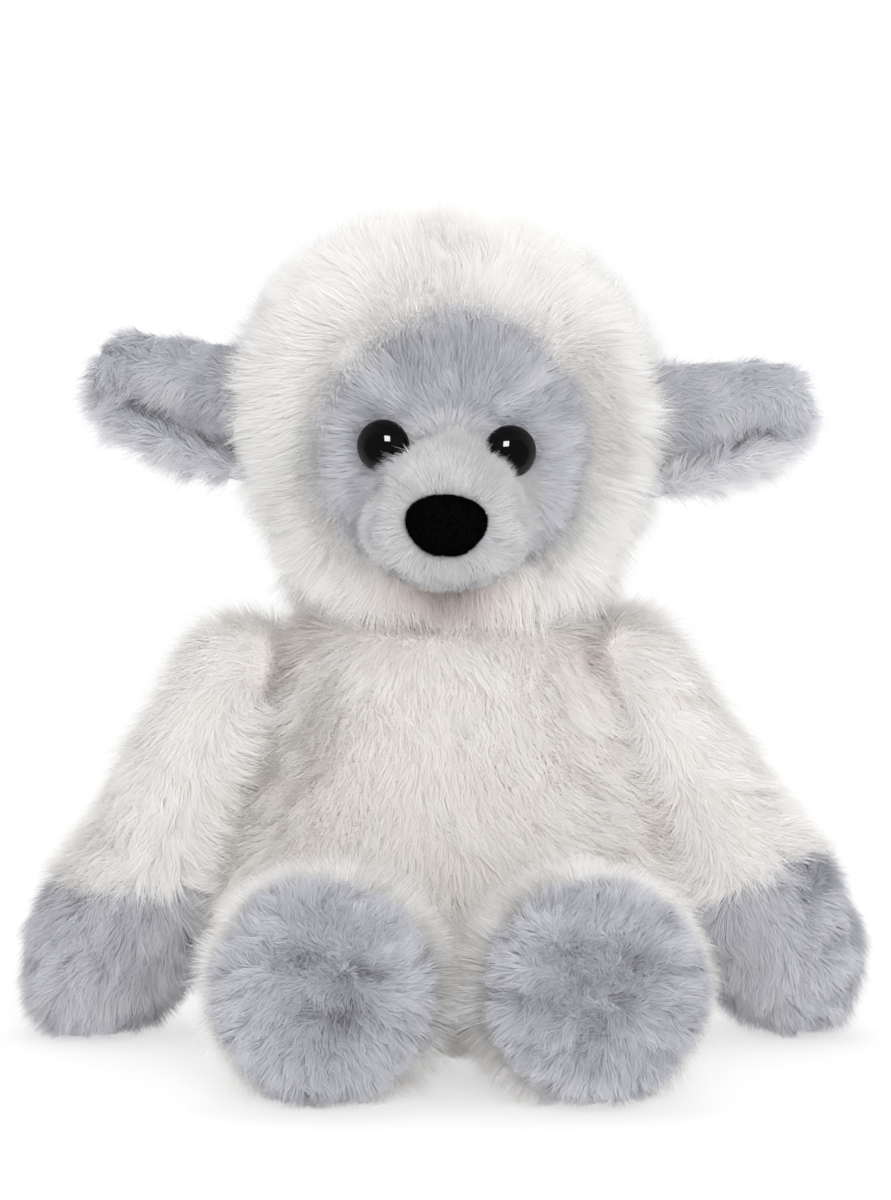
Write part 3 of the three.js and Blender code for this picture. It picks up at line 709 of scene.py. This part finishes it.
# %% Places on the head
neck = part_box("head_fleece")[0].z
roll = math.asin(joints["ear_left_swing"]["axis"][0])
cosine, sine = math.cos(roll), math.sin(roll)
head_turned = np.array([[cosine, 0, -sine], [0, 1, 0], [sine, 0, cosine]])
head_middle = np.array([0, 0, neck + 57.5 * mm])
face_middle = np.array([1.2, 0, 48.4]) * mm
face_half = np.array([36.4, 37.0]) * mm
face_back = -15 * mm  # nothing behind this is face
muzzle_middle = np.array([2.6, 0, 34.8]) * mm
muzzle_half = np.array([21.2, 21.2]) * mm
muzzle_taper = 0.22
muzzle_front = -57 * mm  # all that stands in front of this is muzzle
muzzle_back = -38 * mm
elsewhere = 9.0  # a distance that is far outside any outline
print("the neck seam is", round(neck / mm, 1), "mm up")


def on_head(places):
    """Places in the head's own upright axes, from the middle of its neck seam."""
    return (places - head_middle) @ head_turned.T + head_middle - np.array([0, 0, neck])


def from_oval(here, middle, half):
    """Over 1 outside an oval that faces forwards, and under 1 inside it."""
    return np.hypot(*((here - middle)[:, [0, 2]] / half).T)


def in_face(places):
    here = on_head(places)
    return np.where(here[:, 1] < face_back, from_oval(here, face_middle, face_half), elsewhere)


def from_muzzle(here):
    """The same for the muzzle's outline, which is narrower at its top."""
    across, rise = ((here - muzzle_middle)[:, [0, 2]] / muzzle_half).T
    return np.hypot(across / (1 - muzzle_taper * rise).clip(0.4, 2), rise)


def in_muzzle(places):
    here = on_head(places)
    far = from_muzzle(here)
    far = np.where(here[:, 1] < muzzle_front, np.minimum(far, 0.9), far)
    return np.where(here[:, 1] < muzzle_back, far, elsewhere)


def face_or_muzzle(roots):
    return in_face(roots) + ragged(roots, 0.04, 71) <= 1


def hood_zone(roots):
    return ~face_or_muzzle(roots) & (roots[:, 2] > neck + 1.5 * mm)


def muzzle_zone(roots):
    return in_muzzle(roots) + ragged(roots, 0.12, 72) <= 1


def face_zone(roots):
    return face_or_muzzle(roots) & ~muzzle_zone(roots)


# %% [markdown]
# Each plush of the head has its own depth, so the one skin is drawn in by a different amount under
# hood, face and muzzle. The cheeks' edge lies deepest of the face, where it is sewn into the hood.

# %% The head's skin
hood_depth = 8 * mm
face_depth = 4.4 * mm
cheek_depth = 6.5 * mm  # where the face turns back into the hood
cheek_start = 0.62  # share of the face's oval
muzzle_depth = 2.6 * mm
fuller = 2.5 * mm  # how much more the hood fills out at the upper left
fuller_way = np.array([-0.78, 0, 0.62])


def head_depth(places):
    face, muzzle = in_face(places), in_muzzle(places)
    turning = rising(face - cheek_start, 1 - cheek_start)
    depth = face_depth + (cheek_depth - face_depth) * turning
    full = rising(unit(places - head_middle) @ fuller_way - 0.5, 0.4)
    depth = np.where(face > 1, hood_depth - fuller * full, depth)
    return np.where(muzzle < 1.05, muzzle_depth, depth)


head_skin = stuffed(
    "head_cloth", "head", ["head_fleece", "face_panel", "muzzle"], "head_stuffing",
    ["body_fleece", "sleeve_left", "sleeve_right"], 2.4 * mm, head_depth, rounds=4,
)
line_with(head_skin, grey_cloth, lambda places: in_face(places) <= 1)

# %% [markdown]
# The hood's fleece radiates from the face and falls over the neck. Round the face it stands up, so
# that it frames the grey plush with a soft thick edge.

# %% The hood's pile
hood_fleece = dict(long_fleece, lean=32, swerve=26)
ear_roots = [np.array(joints[f"ear_{side}_swing"]["pos_m"]) for side in sides]
ear_cover = 20 * mm  # how far round an ear's root the fleece stands out over it
jaw = 24 * mm  # above the neck, where the fleece starts to fall over the chest


def by_ear(roots):
    """1 at the middle of an ear's root, falling to 0 round it."""
    nearest = np.min([np.linalg.norm(roots - root, axis=1) for root in ear_roots], 0)
    return bell(nearest, ear_cover)[:, None]


def at_rim(roots, reach):
    """1 where the hood meets the face, falling to 0 over the reach, a share of the oval's size."""
    return bell((in_face(roots) - 1).clip(0, elsewhere), reach)[:, None]


def at_jaw(roots):
    return rising(jaw - on_head(roots)[:, 2:], jaw)


def hood_comb(roots):
    away = unit((on_head(roots) - face_middle) * np.array([1, 0, 1]))
    settled = 0.6 * away + np.array([0, 0.25, -0.25]) + 0.35 * wander(roots, 28 * mm, 8)
    rim, low = at_rim(roots, 0.22), at_jaw(roots)
    combed = settled * (1 - rim) - 0.3 * rim * away
    falling = 0.7 * down + 0.7 * away + 0.7 * wander(roots, 14 * mm, 9)
    combed = combed * (1 - low) + low * falling
    over_ear = 0.7 * np.sign(roots[:, :1]) * np.array([1.0, 0, 0])
    return combed * (1 - by_ear(roots)) + over_ear * by_ear(roots)


def hood_size(roots):
    uneven = 0.5 * wander(roots, 10 * mm, 10)[:, :1].clip(-0.3, 1)
    to_side = 0.3 * rising(np.abs(roots[:, :1]), 35 * mm) - 0.1
    size = 1 - 0.12 * at_rim(roots, 0.16) + 0.4 * by_ear(roots)
    return (size + (uneven + to_side) * at_jaw(roots))[:, 0]


def hood_tint(roots):
    """Painted shade under the chin, darker and warmer, where light is spent among the fibres."""
    across, forward, height = on_head(roots).T
    chin = bell(across, 20 * mm) * bell(height - 10 * mm, 8 * mm) * (forward < 0)
    # the chin term is painted shade
    return 0.85 - 1.05 * chin + 0.1 * wander(roots, 18 * mm, 62)[:, 0]


grow(
    "hood_pile", head_skin, "head", hood_fleece, hood_comb, 12,
    where=hood_zone, size=hood_size, tint=hood_tint,
)

# %% [markdown]
# The face's pile stands round the eyes' domes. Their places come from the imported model: a turned
# part is longer or shorter along its axis than across it, and how its points are spread shows that.

# %% Where the eyes are
def axis_of(name):
    """The front end of a turned node, the way it faces and its radius."""
    places = np.unique(points_of(nodes[name].data).round(6), axis=0)
    middle = places.mean(0)
    spread, ways = np.linalg.eigh(np.cov((places - middle).T))
    odd = np.argmax(np.abs(spread - np.median(spread)))
    axis = ways[:, odd] * -np.sign(ways[1, odd])
    radius = np.linalg.norm(aside(places, middle, axis), axis=1).max()
    return middle + axis * ((places - middle) @ axis).max(), axis, radius


eyes = {side: axis_of("eye_" + side) for side in sides}
eye_clear = 6.9 * mm  # no fibre is rooted nearer to an eye's middle line
eye_edge = 3 * mm  # how far round an eye the pile is combed by it
print("eyes face", {side: found[1].round(3).tolist() for side, found in eyes.items()})


def off_eyes(roots):
    clear = np.ones(len(roots), bool)
    for tip, axis, _ in eyes.values():
        beside = np.linalg.norm(np.cross(roots - tip, axis), axis=1)
        clear &= (beside > eye_clear) | (roots[:, 1] > -30 * mm)
    return clear


def by_eye(roots):
    """How near an eye's edge a root is, the way to the eye, and how far on its inner side."""
    near, inner = np.zeros((2, len(roots), 1))
    towards = np.zeros_like(roots)
    for tip, axis, radius in eyes.values():
        beside = aside(roots, tip, axis)
        far = np.linalg.norm(beside, axis=1, keepdims=True)
        share = bell(far - radius, eye_edge)
        closer = share > near
        near = np.where(closer, share, near)
        towards = np.where(closer, -beside / far, towards)
        inner = np.where(closer, (-np.sign(tip[0]) * beside[:, :1] / far).clip(0, 1), inner)
    return near, towards, inner


def over_eyes(combed, roots):
    """Round an eye the pile stands up, and on the inner side it leans over the dome's edge."""
    near, towards, inner = by_eye(roots)
    return combed * (1 - near) + near * (0.25 + 0.5 * inner) * towards


def size_by_eye(roots, outer, within):
    near, _, inner = by_eye(roots)
    return (1 + near * (outer + (within - outer) * inner - 1))[:, 0]


# %% [markdown]
# The face's plush is shorter and lies outwards from between the eyes. Its tint is what models the
# face: a darker blue-grey forehead, a pale bridge and muzzle, and a pale streak over each eye.
# Close under the muzzle the tint is darker, as painted shade.

# %% The face's pile
face_plush = dict(
    finish=grey_pile, slot="grey_plush", per_mm2=7, length=7.5 * mm, width=0.21 * mm,
    lean=44, lean_range=14, curl=20, swerve=16, droop=0.02, tuft=4 * mm, gather=0.22,
    tint_range=0.2,
)
between_eyes = np.array([0, 0, 46 * mm])
brow_inner = np.array([14, 62]) * mm  # of the pale streak over each eye, across and above the neck
brow_outer = np.array([25, 72]) * mm
brow_width = 3.2 * mm
bridge_top = 56.5 * mm
bridge_foot = 40 * mm
bridge_half = 12.5 * mm
chin_top = 24 * mm


def face_comb(roots):
    here = on_head(roots) - between_eyes
    here[:, 1] = 0
    return over_eyes(0.9 * unit(here) + 0.25 * wander(roots, 16 * mm, 21), roots)


def at_chin(roots):
    """1 close under the muzzle, where little light gets in, falling to 0 round it."""
    here = on_head(roots)
    return rising(1.25 - from_muzzle(here), 0.2) * rising(chin_top - here[:, 2], 6 * mm)


def face_size(roots):
    return size_by_eye(roots, 0.75, 1.25) - 0.5 * at_chin(roots)


def face_tint(roots):
    across, _, height = on_head(roots).T
    forehead = rising(height - bridge_top, 3 * mm)
    bridge = np.exp(-(((across + 1 * mm) / bridge_half) ** 6))
    bridge = bridge * (1 - forehead) * (height > bridge_foot)
    along = rising(np.abs(across) - brow_inner[0], brow_outer[0] - brow_inner[0])
    brow = brow_inner + along[:, None] * (brow_outer - brow_inner)
    off_brow = np.hypot(np.abs(across) - brow[:, 0], height - brow[:, 1])
    pale = 0.44 - 0.18 * forehead + 0.2 * bridge + 0.36 * bell(off_brow, brow_width)
    # - 0.5 * at_chin paints the shade close under the muzzle
    return pale + 0.12 * rising(in_face(roots) - 0.8, 0.2) - 0.5 * at_chin(roots)


grow(
    "face_pile", head_skin, "head", face_plush, face_comb, 13,
    where=lambda roots: face_zone(roots) & off_eyes(roots), tint=face_tint, size=face_size,
)

# %% [markdown]
# The muzzle's plush is the shortest and finest. It lies outwards from the nose, gets a painted
# shade towards the chin, and leaves the place of the nose bare.

# %% The muzzle's pile
muzzle_plush = dict(
    face_plush, finish=pale_pile, slot="pale_plush", per_mm2=8, length=5.2 * mm,
    width=0.19 * mm, tuft=3 * mm, gather=0.05, tint_range=0.12,
)
nose_tip = np.array([0, -80 * mm, 32 * mm])
nose_middle = np.array([0.4, 0, 32.0]) * mm
nose_half = np.array([10.2, 7.6]) * mm
nose_back = -70 * mm


def muzzle_comb(roots):
    here = on_head(roots) - nose_tip
    return over_eyes(unit(here) + 0.3 * wander(roots, 9 * mm, 22), roots)


def below(roots):
    """0 above the muzzle's lower edge, rising to 1 at the chin."""
    return rising(chin_top - on_head(roots)[:, 2], 10 * mm)


def muzzle_tint(roots):
    # - 0.3 * below paints shade towards the chin
    return 0.52 + 0.1 * wander(roots, 9 * mm, 23)[:, 0] - 0.3 * below(roots)


def muzzle_size(roots):
    return size_by_eye(roots, 1.1, 1.45) - 0.35 * below(roots)


def muzzle_and_bare_nose(roots):
    here = on_head(roots)
    under_nose = (from_oval(here, nose_middle, nose_half) < 1) & (here[:, 1] < nose_back)
    return muzzle_zone(roots) & ~under_nose & off_eyes(roots)


grow(
    "muzzle_pile", head_skin, "head", muzzle_plush, muzzle_comb, 14,
    where=muzzle_and_bare_nose, tint=muzzle_tint, size=muzzle_size,
)

# %% [markdown]
# A safety eye is a moulded dome on a ribbed shank, which a washer locks behind the cloth. It is
# modelled as it is moulded: half a ball, flattened to the dome's height, gets a straight rim, and
# the shank is drawn out of its back. It stands along +Z first and is then laid on the eye's axis.

# %% The eyes' shape
dome_height = 5.4 * mm
rim_height = 0.8 * mm
shank_radius = 2.3 * mm
shank_plain = 5 * mm
rib_pitch = 3 * mm
rib_height = 0.5 * mm
rib_count = 3
shank_tip_share = 0.6


def scale_selected(across, upward=1.0):
    """Scales what is selected about the Z axis, and about the ground where upward isn't 1."""
    bpy.ops.transform.resize(value=(across, across, upward), center_override=(0, 0, 0))


def pull_out(distance, across=1.0):
    """Draws the selected face out along Z and then scales it about the Z axis."""
    bpy.ops.mesh.extrude_region_move(TRANSFORM_OT_translate={"value": (0, 0, distance)})
    if across != 1:
        scale_selected(across)


def make_eye(name, tip, axis, radius):
    deselect_all()
    bpy.ops.mesh.primitive_uv_sphere_add(segments=64, ring_count=40, radius=radius)
    eye = bpy.context.object
    eye.name = eye.data.name = name
    bpy.ops.object.mode_set(mode="EDIT")
    bpy.ops.mesh.select_all(action="SELECT")
    scale_selected(1, dome_height / radius)
    bpy.ops.mesh.bisect(plane_co=(0, 0, 0), plane_no=(0, 0, 1), clear_inner=True, use_fill=True)
    pull_out(-rim_height)
    pull_out(0, shank_radius / radius)
    pull_out(-shank_plain)
    groove = (shank_radius - rib_height) / shank_radius
    for _ in range(rib_count):
        pull_out(-rib_pitch / 2, groove)
        pull_out(-rib_pitch / 2, 1 / groove)
    pull_out(0, shank_tip_share)
    bpy.ops.object.mode_set(mode="OBJECT")
    eye.rotation_mode = "QUATERNION"
    eye.rotation_quaternion = Vector((0, 0, 1)).rotation_difference(Vector(axis))
    eye.location = Vector(tip - axis * dome_height)
    bpy.ops.object.transform_apply(location=True, rotation=True, scale=True)
    bpy.ops.object.shade_smooth_by_angle(angle=math.radians(40))
    print(name, len(eye.data.polygons), "faces")
    return eye


# %% [markdown]
# The dome is clear plastic over a painted back: a black pupil with a smoky iris round it. Both are
# told from the distance to the eye's axis. The iris is lighter low down and outwards, which is
# painted light.

# %% The eyes' finish
iris_stops = [(0.0, 0.0), (0.52, 0.0), (0.62, 0.8), (0.84, 1.0), (0.97, 0.1)]  # share of the radius
pupil_black = (0.001, 0.001, 0.001, 1)
iris_smoke = (0.026, 0.023, 0.024, 1)


def eye_finish(name, tip, axis, radius, outward):
    material, shade, shader = finish_of(name, 0.04, Specular_IOR_Level=0.06)
    place = shade.on_piece()
    place = place.vector("SUBTRACT", place, tuple(tip))
    across = place.vector("CROSS_PRODUCT", place, tuple(axis))
    far = place.vector("LENGTH", across, output=1) * (1 / radius)
    ramp = [(stop, (level, level, level)) for stop, level in iris_stops]
    ring = shade.node("ShaderNodeValToRGB", {"ramp": ramp}, Fac=far)
    # painted light: the iris is lighter low down and outwards
    way = unit(np.array([outward * 0.5, 0, -1.0])) / radius
    low = place.vector("DOT_PRODUCT", place, tuple(way), output=1)
    share = ring * (low * 0.5 + 0.4)
    mix = shade.node(
        "ShaderNodeMix", {"data_type": "RGBA"}, 2, _0=share, _6=pupil_black, _7=iris_smoke
    )
    mix.into(shader.inputs["Base Color"])
    return material


for side, outward in (("left", -1), ("right", 1)):
    eye = make_eye("glossy_eye_" + side, *eyes[side])
    eye.data.materials.append(eye_finish("eye_dome_" + side, *eyes[side], outward))
    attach(eye, "head")
    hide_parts("eye_" + side)

# %% [markdown]
# The nose is a moulded cap with black flock on it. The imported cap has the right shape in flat
# facets, so a copy of it is melted into a fine smooth form. Flock is very short fibre that stands
# straight up, which is why the nose looks velvety and has no highlight.

# %% The nose
nose_cap = melted("nose_cap", ["nose"], 0.5 * mm, 10)
nose_cap.data.materials.append(mottled_finish(
    "flocked_cap", soot, dark_brown, 900, 0.95, bump=0.5, depth=0.2 * mm, gloss=0
))
mark_open(nose_cap, np.ones(len(nose_cap.data.vertices)))
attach(nose_cap, "head")
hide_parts("nose")

short_flock = dict(
    finish=flock, slot="black_flock", per_mm2=12, length=0.6 * mm, width=0.08 * mm,
    lean=10, lean_range=20, curl=5, swerve=180, droop=0, tuft=2 * mm, gather=0.1,
    tint=0.5, tint_range=0.2,
)
flock_back = -77 * mm  # behind this the cap is inside the muzzle
grow(
    "nose_flock", nose_cap, "head", short_flock, lambda roots: 0.2 * wander(roots, 5 * mm, 9), 15,
    where=lambda roots: roots[:, 1] < flock_back,
)

# %% [markdown]
# An arm is a sleeve of the long fleece with a mitten of grey plush at its end. Each arm's pile runs
# down it. The seam between the two lies level on the left arm and across the right one, because the
# arms hang at rest against the sides with a different twist.

# %% The arms
grey_plush = dict(
    finish=grey_pile, slot="grey_plush", per_mm2=6, length=9 * mm, width=0.2 * mm,
    lean=38, lean_range=18, curl=26, swerve=32, droop=0.05, tuft=5 * mm, gather=0.18,
    tint=0.46, tint_range=0.22,
)
paw_depth = 5.5 * mm
seam_blend = 6 * mm  # the length over which one plush's depth becomes the other's
shoulder_top = 14 * mm
cuff_point = {"left": np.array([-90, -5, 44.5]) * mm, "right": np.array([86, -5.5, 45.5]) * mm}
cuff_normal = {"left": np.array([-0.02, -0.08, -1.0]), "right": np.array([0.42, -0.1, -0.9])}


def middle_of(name):
    return np.unique(points_of(nodes[name].data).round(6), axis=0).mean(0)


def dress_limb(limb, covers, others, beyond_seam, second_depth, *piles):
    """A limb of fleece up to a seam and of a second plush beyond it, with the pile of each."""
    def depth(places):
        share = (beyond_seam(places) / seam_blend + 0.5).clip(0, 1)
        return fleece_depth + (second_depth - fleece_depth) * share

    cloth, filled = limb.replace("_", "_cloth_"), limb.replace("_", "_stuffing_")
    skin = stuffed(cloth, limb, covers, filled, others, 3 * mm, depth)
    line_with(skin, grey_cloth, lambda places: beyond_seam(places) > 0)
    zones = (lambda roots: beyond_seam(roots) <= 0), (lambda roots: beyond_seam(roots) > 0)
    for pile, zone in zip(piles, zones):
        grow(skin=skin, body=limb, where=zone, **pile)


def dress_arm(side):
    arm, sleeve, paw = "arm_" + side, "sleeve_" + side, "paw_" + side
    shoulder = np.array(joints[arm + "_lift"]["pos_m"])
    way = unit(middle_of(paw) - shoulder)
    normal = unit(cuff_normal[side])
    outer = np.array([np.sign(shoulder[0]), 0.0, 0.0])

    def beyond_cuff(places):
        return (places - cuff_point[side]) @ normal + ragged(places, 1.6 * mm, 73)

    def down_sleeve(roots):
        """Down the arm, but over the crease beside the body, and outwards on the shoulder."""
        along = (roots - shoulder) @ way
        radial = unit(aside(roots, shoulder, way))
        to_body = rising(-(radial @ outer)[:, None], 0.7)
        on_top = (1 - along[:, None] / shoulder_top).clip(0, 1)
        settled = 0.9 * way + 0.15 * down + 0.3 * wander(roots, 28 * mm, 31)
        settled = settled * (1 - to_body) + to_body * (0.4 * down - 0.9 * outer)
        return settled * (1 - on_top) + on_top * (0.7 * outer + np.array([0, -0.4, 0]))

    def down_paw(roots):
        return 0.6 * way + 0.15 * down + 0.5 * wander(roots, 14 * mm, 32)

    def sleeve_tint(roots):
        return 0.15 + pink_roots_and_painted_shade(roots)

    dress_limb(
        arm, [sleeve, paw], ["body_fleece", "leg_fleece_" + side], beyond_cuff, paw_depth,
        dict(name="sleeve_pile_" + side, look=long_fleece, comb=down_sleeve, seed=41,
             tint=sleeve_tint),
        dict(name="paw_pile_" + side, look=grey_plush, comb=down_paw, seed=42),
    )


for side in sides:
    dress_arm(side)

# %% [markdown]
# A leg points forwards, so the sole faces the viewer. The sole's plush fans out from its middle and
# nearly hides the fleece behind it: only a thin pale edge shows all round.

# %% The legs
ankle = 59 * mm  # from the hip to the seam of the sole, along the leg
sole_depth = 5 * mm
sole_radius = 30 * mm
sole_plush = dict(
    grey_plush, per_mm2=7, length=7 * mm, lean=34, swerve=50, tuft=3.2 * mm, tint_range=0.16
)


def dress_leg(side):
    leg, bottom = "leg_" + side, "sole_" + side
    hip = np.array(joints[leg + "_swing"]["pos_m"])
    sole = middle_of(bottom)
    way = unit(sole - hip)

    def beyond_ankle(places):
        return (places - hip) @ way - ankle + ragged(places, 1.2 * mm, 74)

    def between_legs(roots):
        return (-np.sign(hip[0]) * unit(aside(roots, hip, way))[:, 0]).clip(0, 1)

    def down_leg(roots):
        settled = 0.1 * way + 0.3 * unit(aside(roots, hip, way)) + 0.35 * down
        settled = settled + 0.35 * wander(roots, 26 * mm, 33)
        return settled * (1 - 0.7 * between_legs(roots)[:, None])

    def leg_size(roots):
        return 1 + 0.25 * between_legs(roots)

    def from_middle(roots):
        away = 0.6 * aside(roots, sole, way) / (20 * mm)
        return away + 0.15 * down + 0.35 * wander(roots, 8 * mm, 34)

    def sole_tint(roots):
        away = np.linalg.norm(aside(roots, sole, way), axis=1)
        patches = 0.08 * wander(roots, 7 * mm, 75)[:, 0]
        return 0.18 + 0.28 * rising(away, sole_radius) ** 2 + patches

    dress_limb(
        leg, ["leg_fleece_" + side, bottom], ["body_fleece"], beyond_ankle, sole_depth,
        dict(name="leg_pile_" + side, look=long_fleece, comb=down_leg, seed=43, size=leg_size),
        dict(name="sole_pile_" + side, look=sole_plush, comb=from_middle, seed=44,
             tint=sole_tint),
    )


for side in sides:
    dress_leg(side)

# %% [markdown]
# An ear is a lined leaf that is folded once along its length before it is sewn in. The fold shows
# as a crease that rises from the lower root towards the tip. The pile above hangs over it a little.

# %% The ears
ear_plush = dict(grey_plush, length=8.5 * mm)
ear_lift = math.radians(9)
ear_depth = 3.6 * mm
crease_start = -7 * mm  # below the ear's middle line, at the root
crease_slope = 0.2
crease_end = 34 * mm  # along the ear
crease_dent = 5 * mm
crease_width = 3.6 * mm
roll_height = 2.2 * mm  # how far the edge under the crease stands forwards
ear_root = 8 * mm  # this much of the ear's length stretches in through the hood's pile
ear_reach_in = 9 * mm


def dress_ear(side, sign):
    body = "ear_" + side
    root = np.array(joints[body + "_swing"]["pos_m"])
    lift = ear_lift - sign * roll
    outward = np.array([sign * math.cos(lift), 0, math.sin(lift)])
    upward = np.array([-sign * math.sin(lift), 0, math.cos(lift)])

    def below_crease(places):
        """How far along the ear a place is, and how far under its crease."""
        along, height = (places - root) @ outward, (places - root) @ upward
        return along, crease_start + crease_slope * along - height

    def folded(places, normals):
        along, below = below_crease(places)
        fade = (1 - (along / crease_end) ** 3).clip(0, 1)
        dent = crease_dent * bell(below, crease_width) * fade
        roll_over = roll_height * bell(below - 8 * mm, 5 * mm) * fade
        moved = places.copy()
        moved[:, 1] += (dent - roll_over) * (-normals[:, 1]).clip(0, 1)
        at_root = (1 - along / ear_root).clip(0, 1)
        return moved - np.outer(ear_reach_in * at_root, outward)

    def just_above(below):
        return bell(below + 4 * mm, 4 * mm)

    def in_crease(roots):
        along, below = below_crease(roots)
        return bell(below - 2.5 * mm, 2.6 * mm) * rising(crease_end - along, 7 * mm)

    def along_ear(roots):
        over = just_above(below_crease(roots)[1])[:, None]
        settled = (0.8 - 0.55 * over) * outward - (0.15 + 0.6 * over) * upward
        return settled + 0.35 * wander(roots, 14 * mm, 35)

    def ear_tint(roots):
        """Pale in the lining's patch, under the crease and at the tip.

        The crease is darkened with painted shade.
        """
        along, below = below_crease(roots)
        in_front = roots[:, 1] < root[1] - 1 * mm
        rim = rising(below - 3 * mm, 6 * mm) * (0.45 if sign > 0 else 0.2)
        patch = bell(along - 20 * mm, 9 * mm) * bell(below + 5 * mm, 4 * mm) * in_front
        tip = rising(along - 34 * mm, 12 * mm)
        # the in_crease term paints the crease's shade
        tint = 0.36 + 0.02 * sign - 0.9 * in_crease(roots) * in_front
        return tint + 0.25 * patch + 0.2 * tip + rim

    def ear_size(roots):
        short = 0.45 * in_crease(roots) + 0.2 * just_above(below_crease(roots)[1])
        return (1 - 0.35 * rising((roots - root) @ upward, 14 * mm)) * (1 - short)

    skin = stuffed(
        "ear_cloth_" + side, body, ["ear_back_" + side, "ear_lining_" + side], None, [],
        1.8 * mm, even(ear_depth), rounds=3, shape=folded, cloth=grey_cloth,
    )
    grow(
        "ear_pile_" + side, skin, body, ear_plush, along_ear, 45, tint=ear_tint, size=ear_size,
        where=lambda roots: (roots - root) @ outward > -2 * mm,
    )


for side, sign in (("left", -1), ("right", 1)):
    dress_ear(side, sign)

# %% [markdown]
# The tail is a short stuffed flap of the same fleece, sewn on at the back. It is one solid in the
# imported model, so its skin stands for it alone.

# %% The tail
tail_skin = stuffed("tail_cloth", "tail", ["tail"], None, [], 2 * mm, even(4 * mm), rounds=3)
grow("tail_pile", tail_skin, "tail", dict(long_fleece, length=10 * mm), hanging, 46)

# %% [markdown]
# The floor and the world show white to the camera, and light the toy at a plain level. The floor
# keeps the toy's shadow near it, and fades to pure white further off. Light that passes through the
# pile is scattered many times, so more bounces than usual are allowed.

# %% The floor
def to_camera(shade):
    """1 for rays that come from the camera, straight or by way of gloss or glass, or else 0."""
    path = shade.tree.nodes.new("ShaderNodeLightPath")
    direct, gloss, glass = (
        Shade(shade.tree, path.outputs[f"Is {kind} Ray"])
        for kind in ("Camera", "Glossy", "Transmission")
    )
    return shade.maths("MINIMUM", direct + gloss + glass, 1.0)


fade_near, fade_far = 0.25, 0.9  # metres from the toy
white_near = 0.6  # how far the floor is pure white close to the toy
bpy.ops.mesh.primitive_circle_add(vertices=96, radius=20, fill_type="NGON")
floor = bpy.context.object
floor.name = floor.data.name = "floor"
material, shade, shader = finish_of("floor", 0.9, Base_Color=(0.96, 0.96, 0.96, 1))
far = shade.vector("LENGTH", shade.on_piece(), output=1)
fade = shade.node(
    "ShaderNodeMapRange", Value=far,
    From_Min=fade_near, From_Max=fade_far, To_Min=white_near, To_Max=1.0,
)
white = shade.node("ShaderNodeEmission", Color=(1, 1, 1, 1), Strength=1.0)
lit = Shade(shade.tree, shader.outputs[0])
surface = shade.node("ShaderNodeMixShader", Fac=fade * to_camera(shade), _1=lit, _2=white)
surface.into(shade.tree.nodes["Material Output"].inputs["Surface"])
floor.data.materials.append(material)
print("floor fades to white from", fade_near, "to", fade_far, "m")

# %% [markdown]
# The key softbox shows only in gloss, as a small square highlight in each eye. The other two light
# the pile and aren't mirrored. Most of the light is the world's even fill.

# %% Lamps, world and view
lit_place = Vector((0, 0, 0.12))
fill_level = 0.78


def softbox(name, place, size, power, in_gloss=True, in_diffuse=True):
    lamp = bpy.data.lights.new(name, "AREA")
    lamp.size = size
    lamp.energy = power
    lamp_object = placed(name, lamp)
    lamp_object.location = place
    lamp_object.rotation_euler = (Vector(place) - lit_place).to_track_quat("Z", "Y").to_euler()
    lamp_object.visible_glossy = in_gloss
    lamp_object.visible_diffuse = lamp_object.visible_transmission = in_diffuse
    print(name, "softbox,", power, "W")


softbox("key", (0, -1.65, 0.95), 0.6, 200, in_diffuse=False)
softbox("front", (0.3, -1.9, 0.75), 1.0, 15, in_gloss=False)
softbox("top", (0, 0.3, 1.9), 1.2, 10, in_gloss=False)

world = bpy.data.worlds.new("world")
bpy.context.scene.world = world
world.use_nodes = True
sky = world.node_tree.nodes["Background"]
sky.inputs["Color"].default_value = (1, 1, 1, 1)
seen = to_camera(Shade(world.node_tree))
(seen * (1 - fill_level) + fill_level).into(sky.inputs["Strength"])

scene = bpy.context.scene
scene.view_settings.view_transform = "Standard"
scene.cycles.max_bounces = 24
scene.cycles.diffuse_bounces = 16
scene.cycles.transmission_bounces = 16
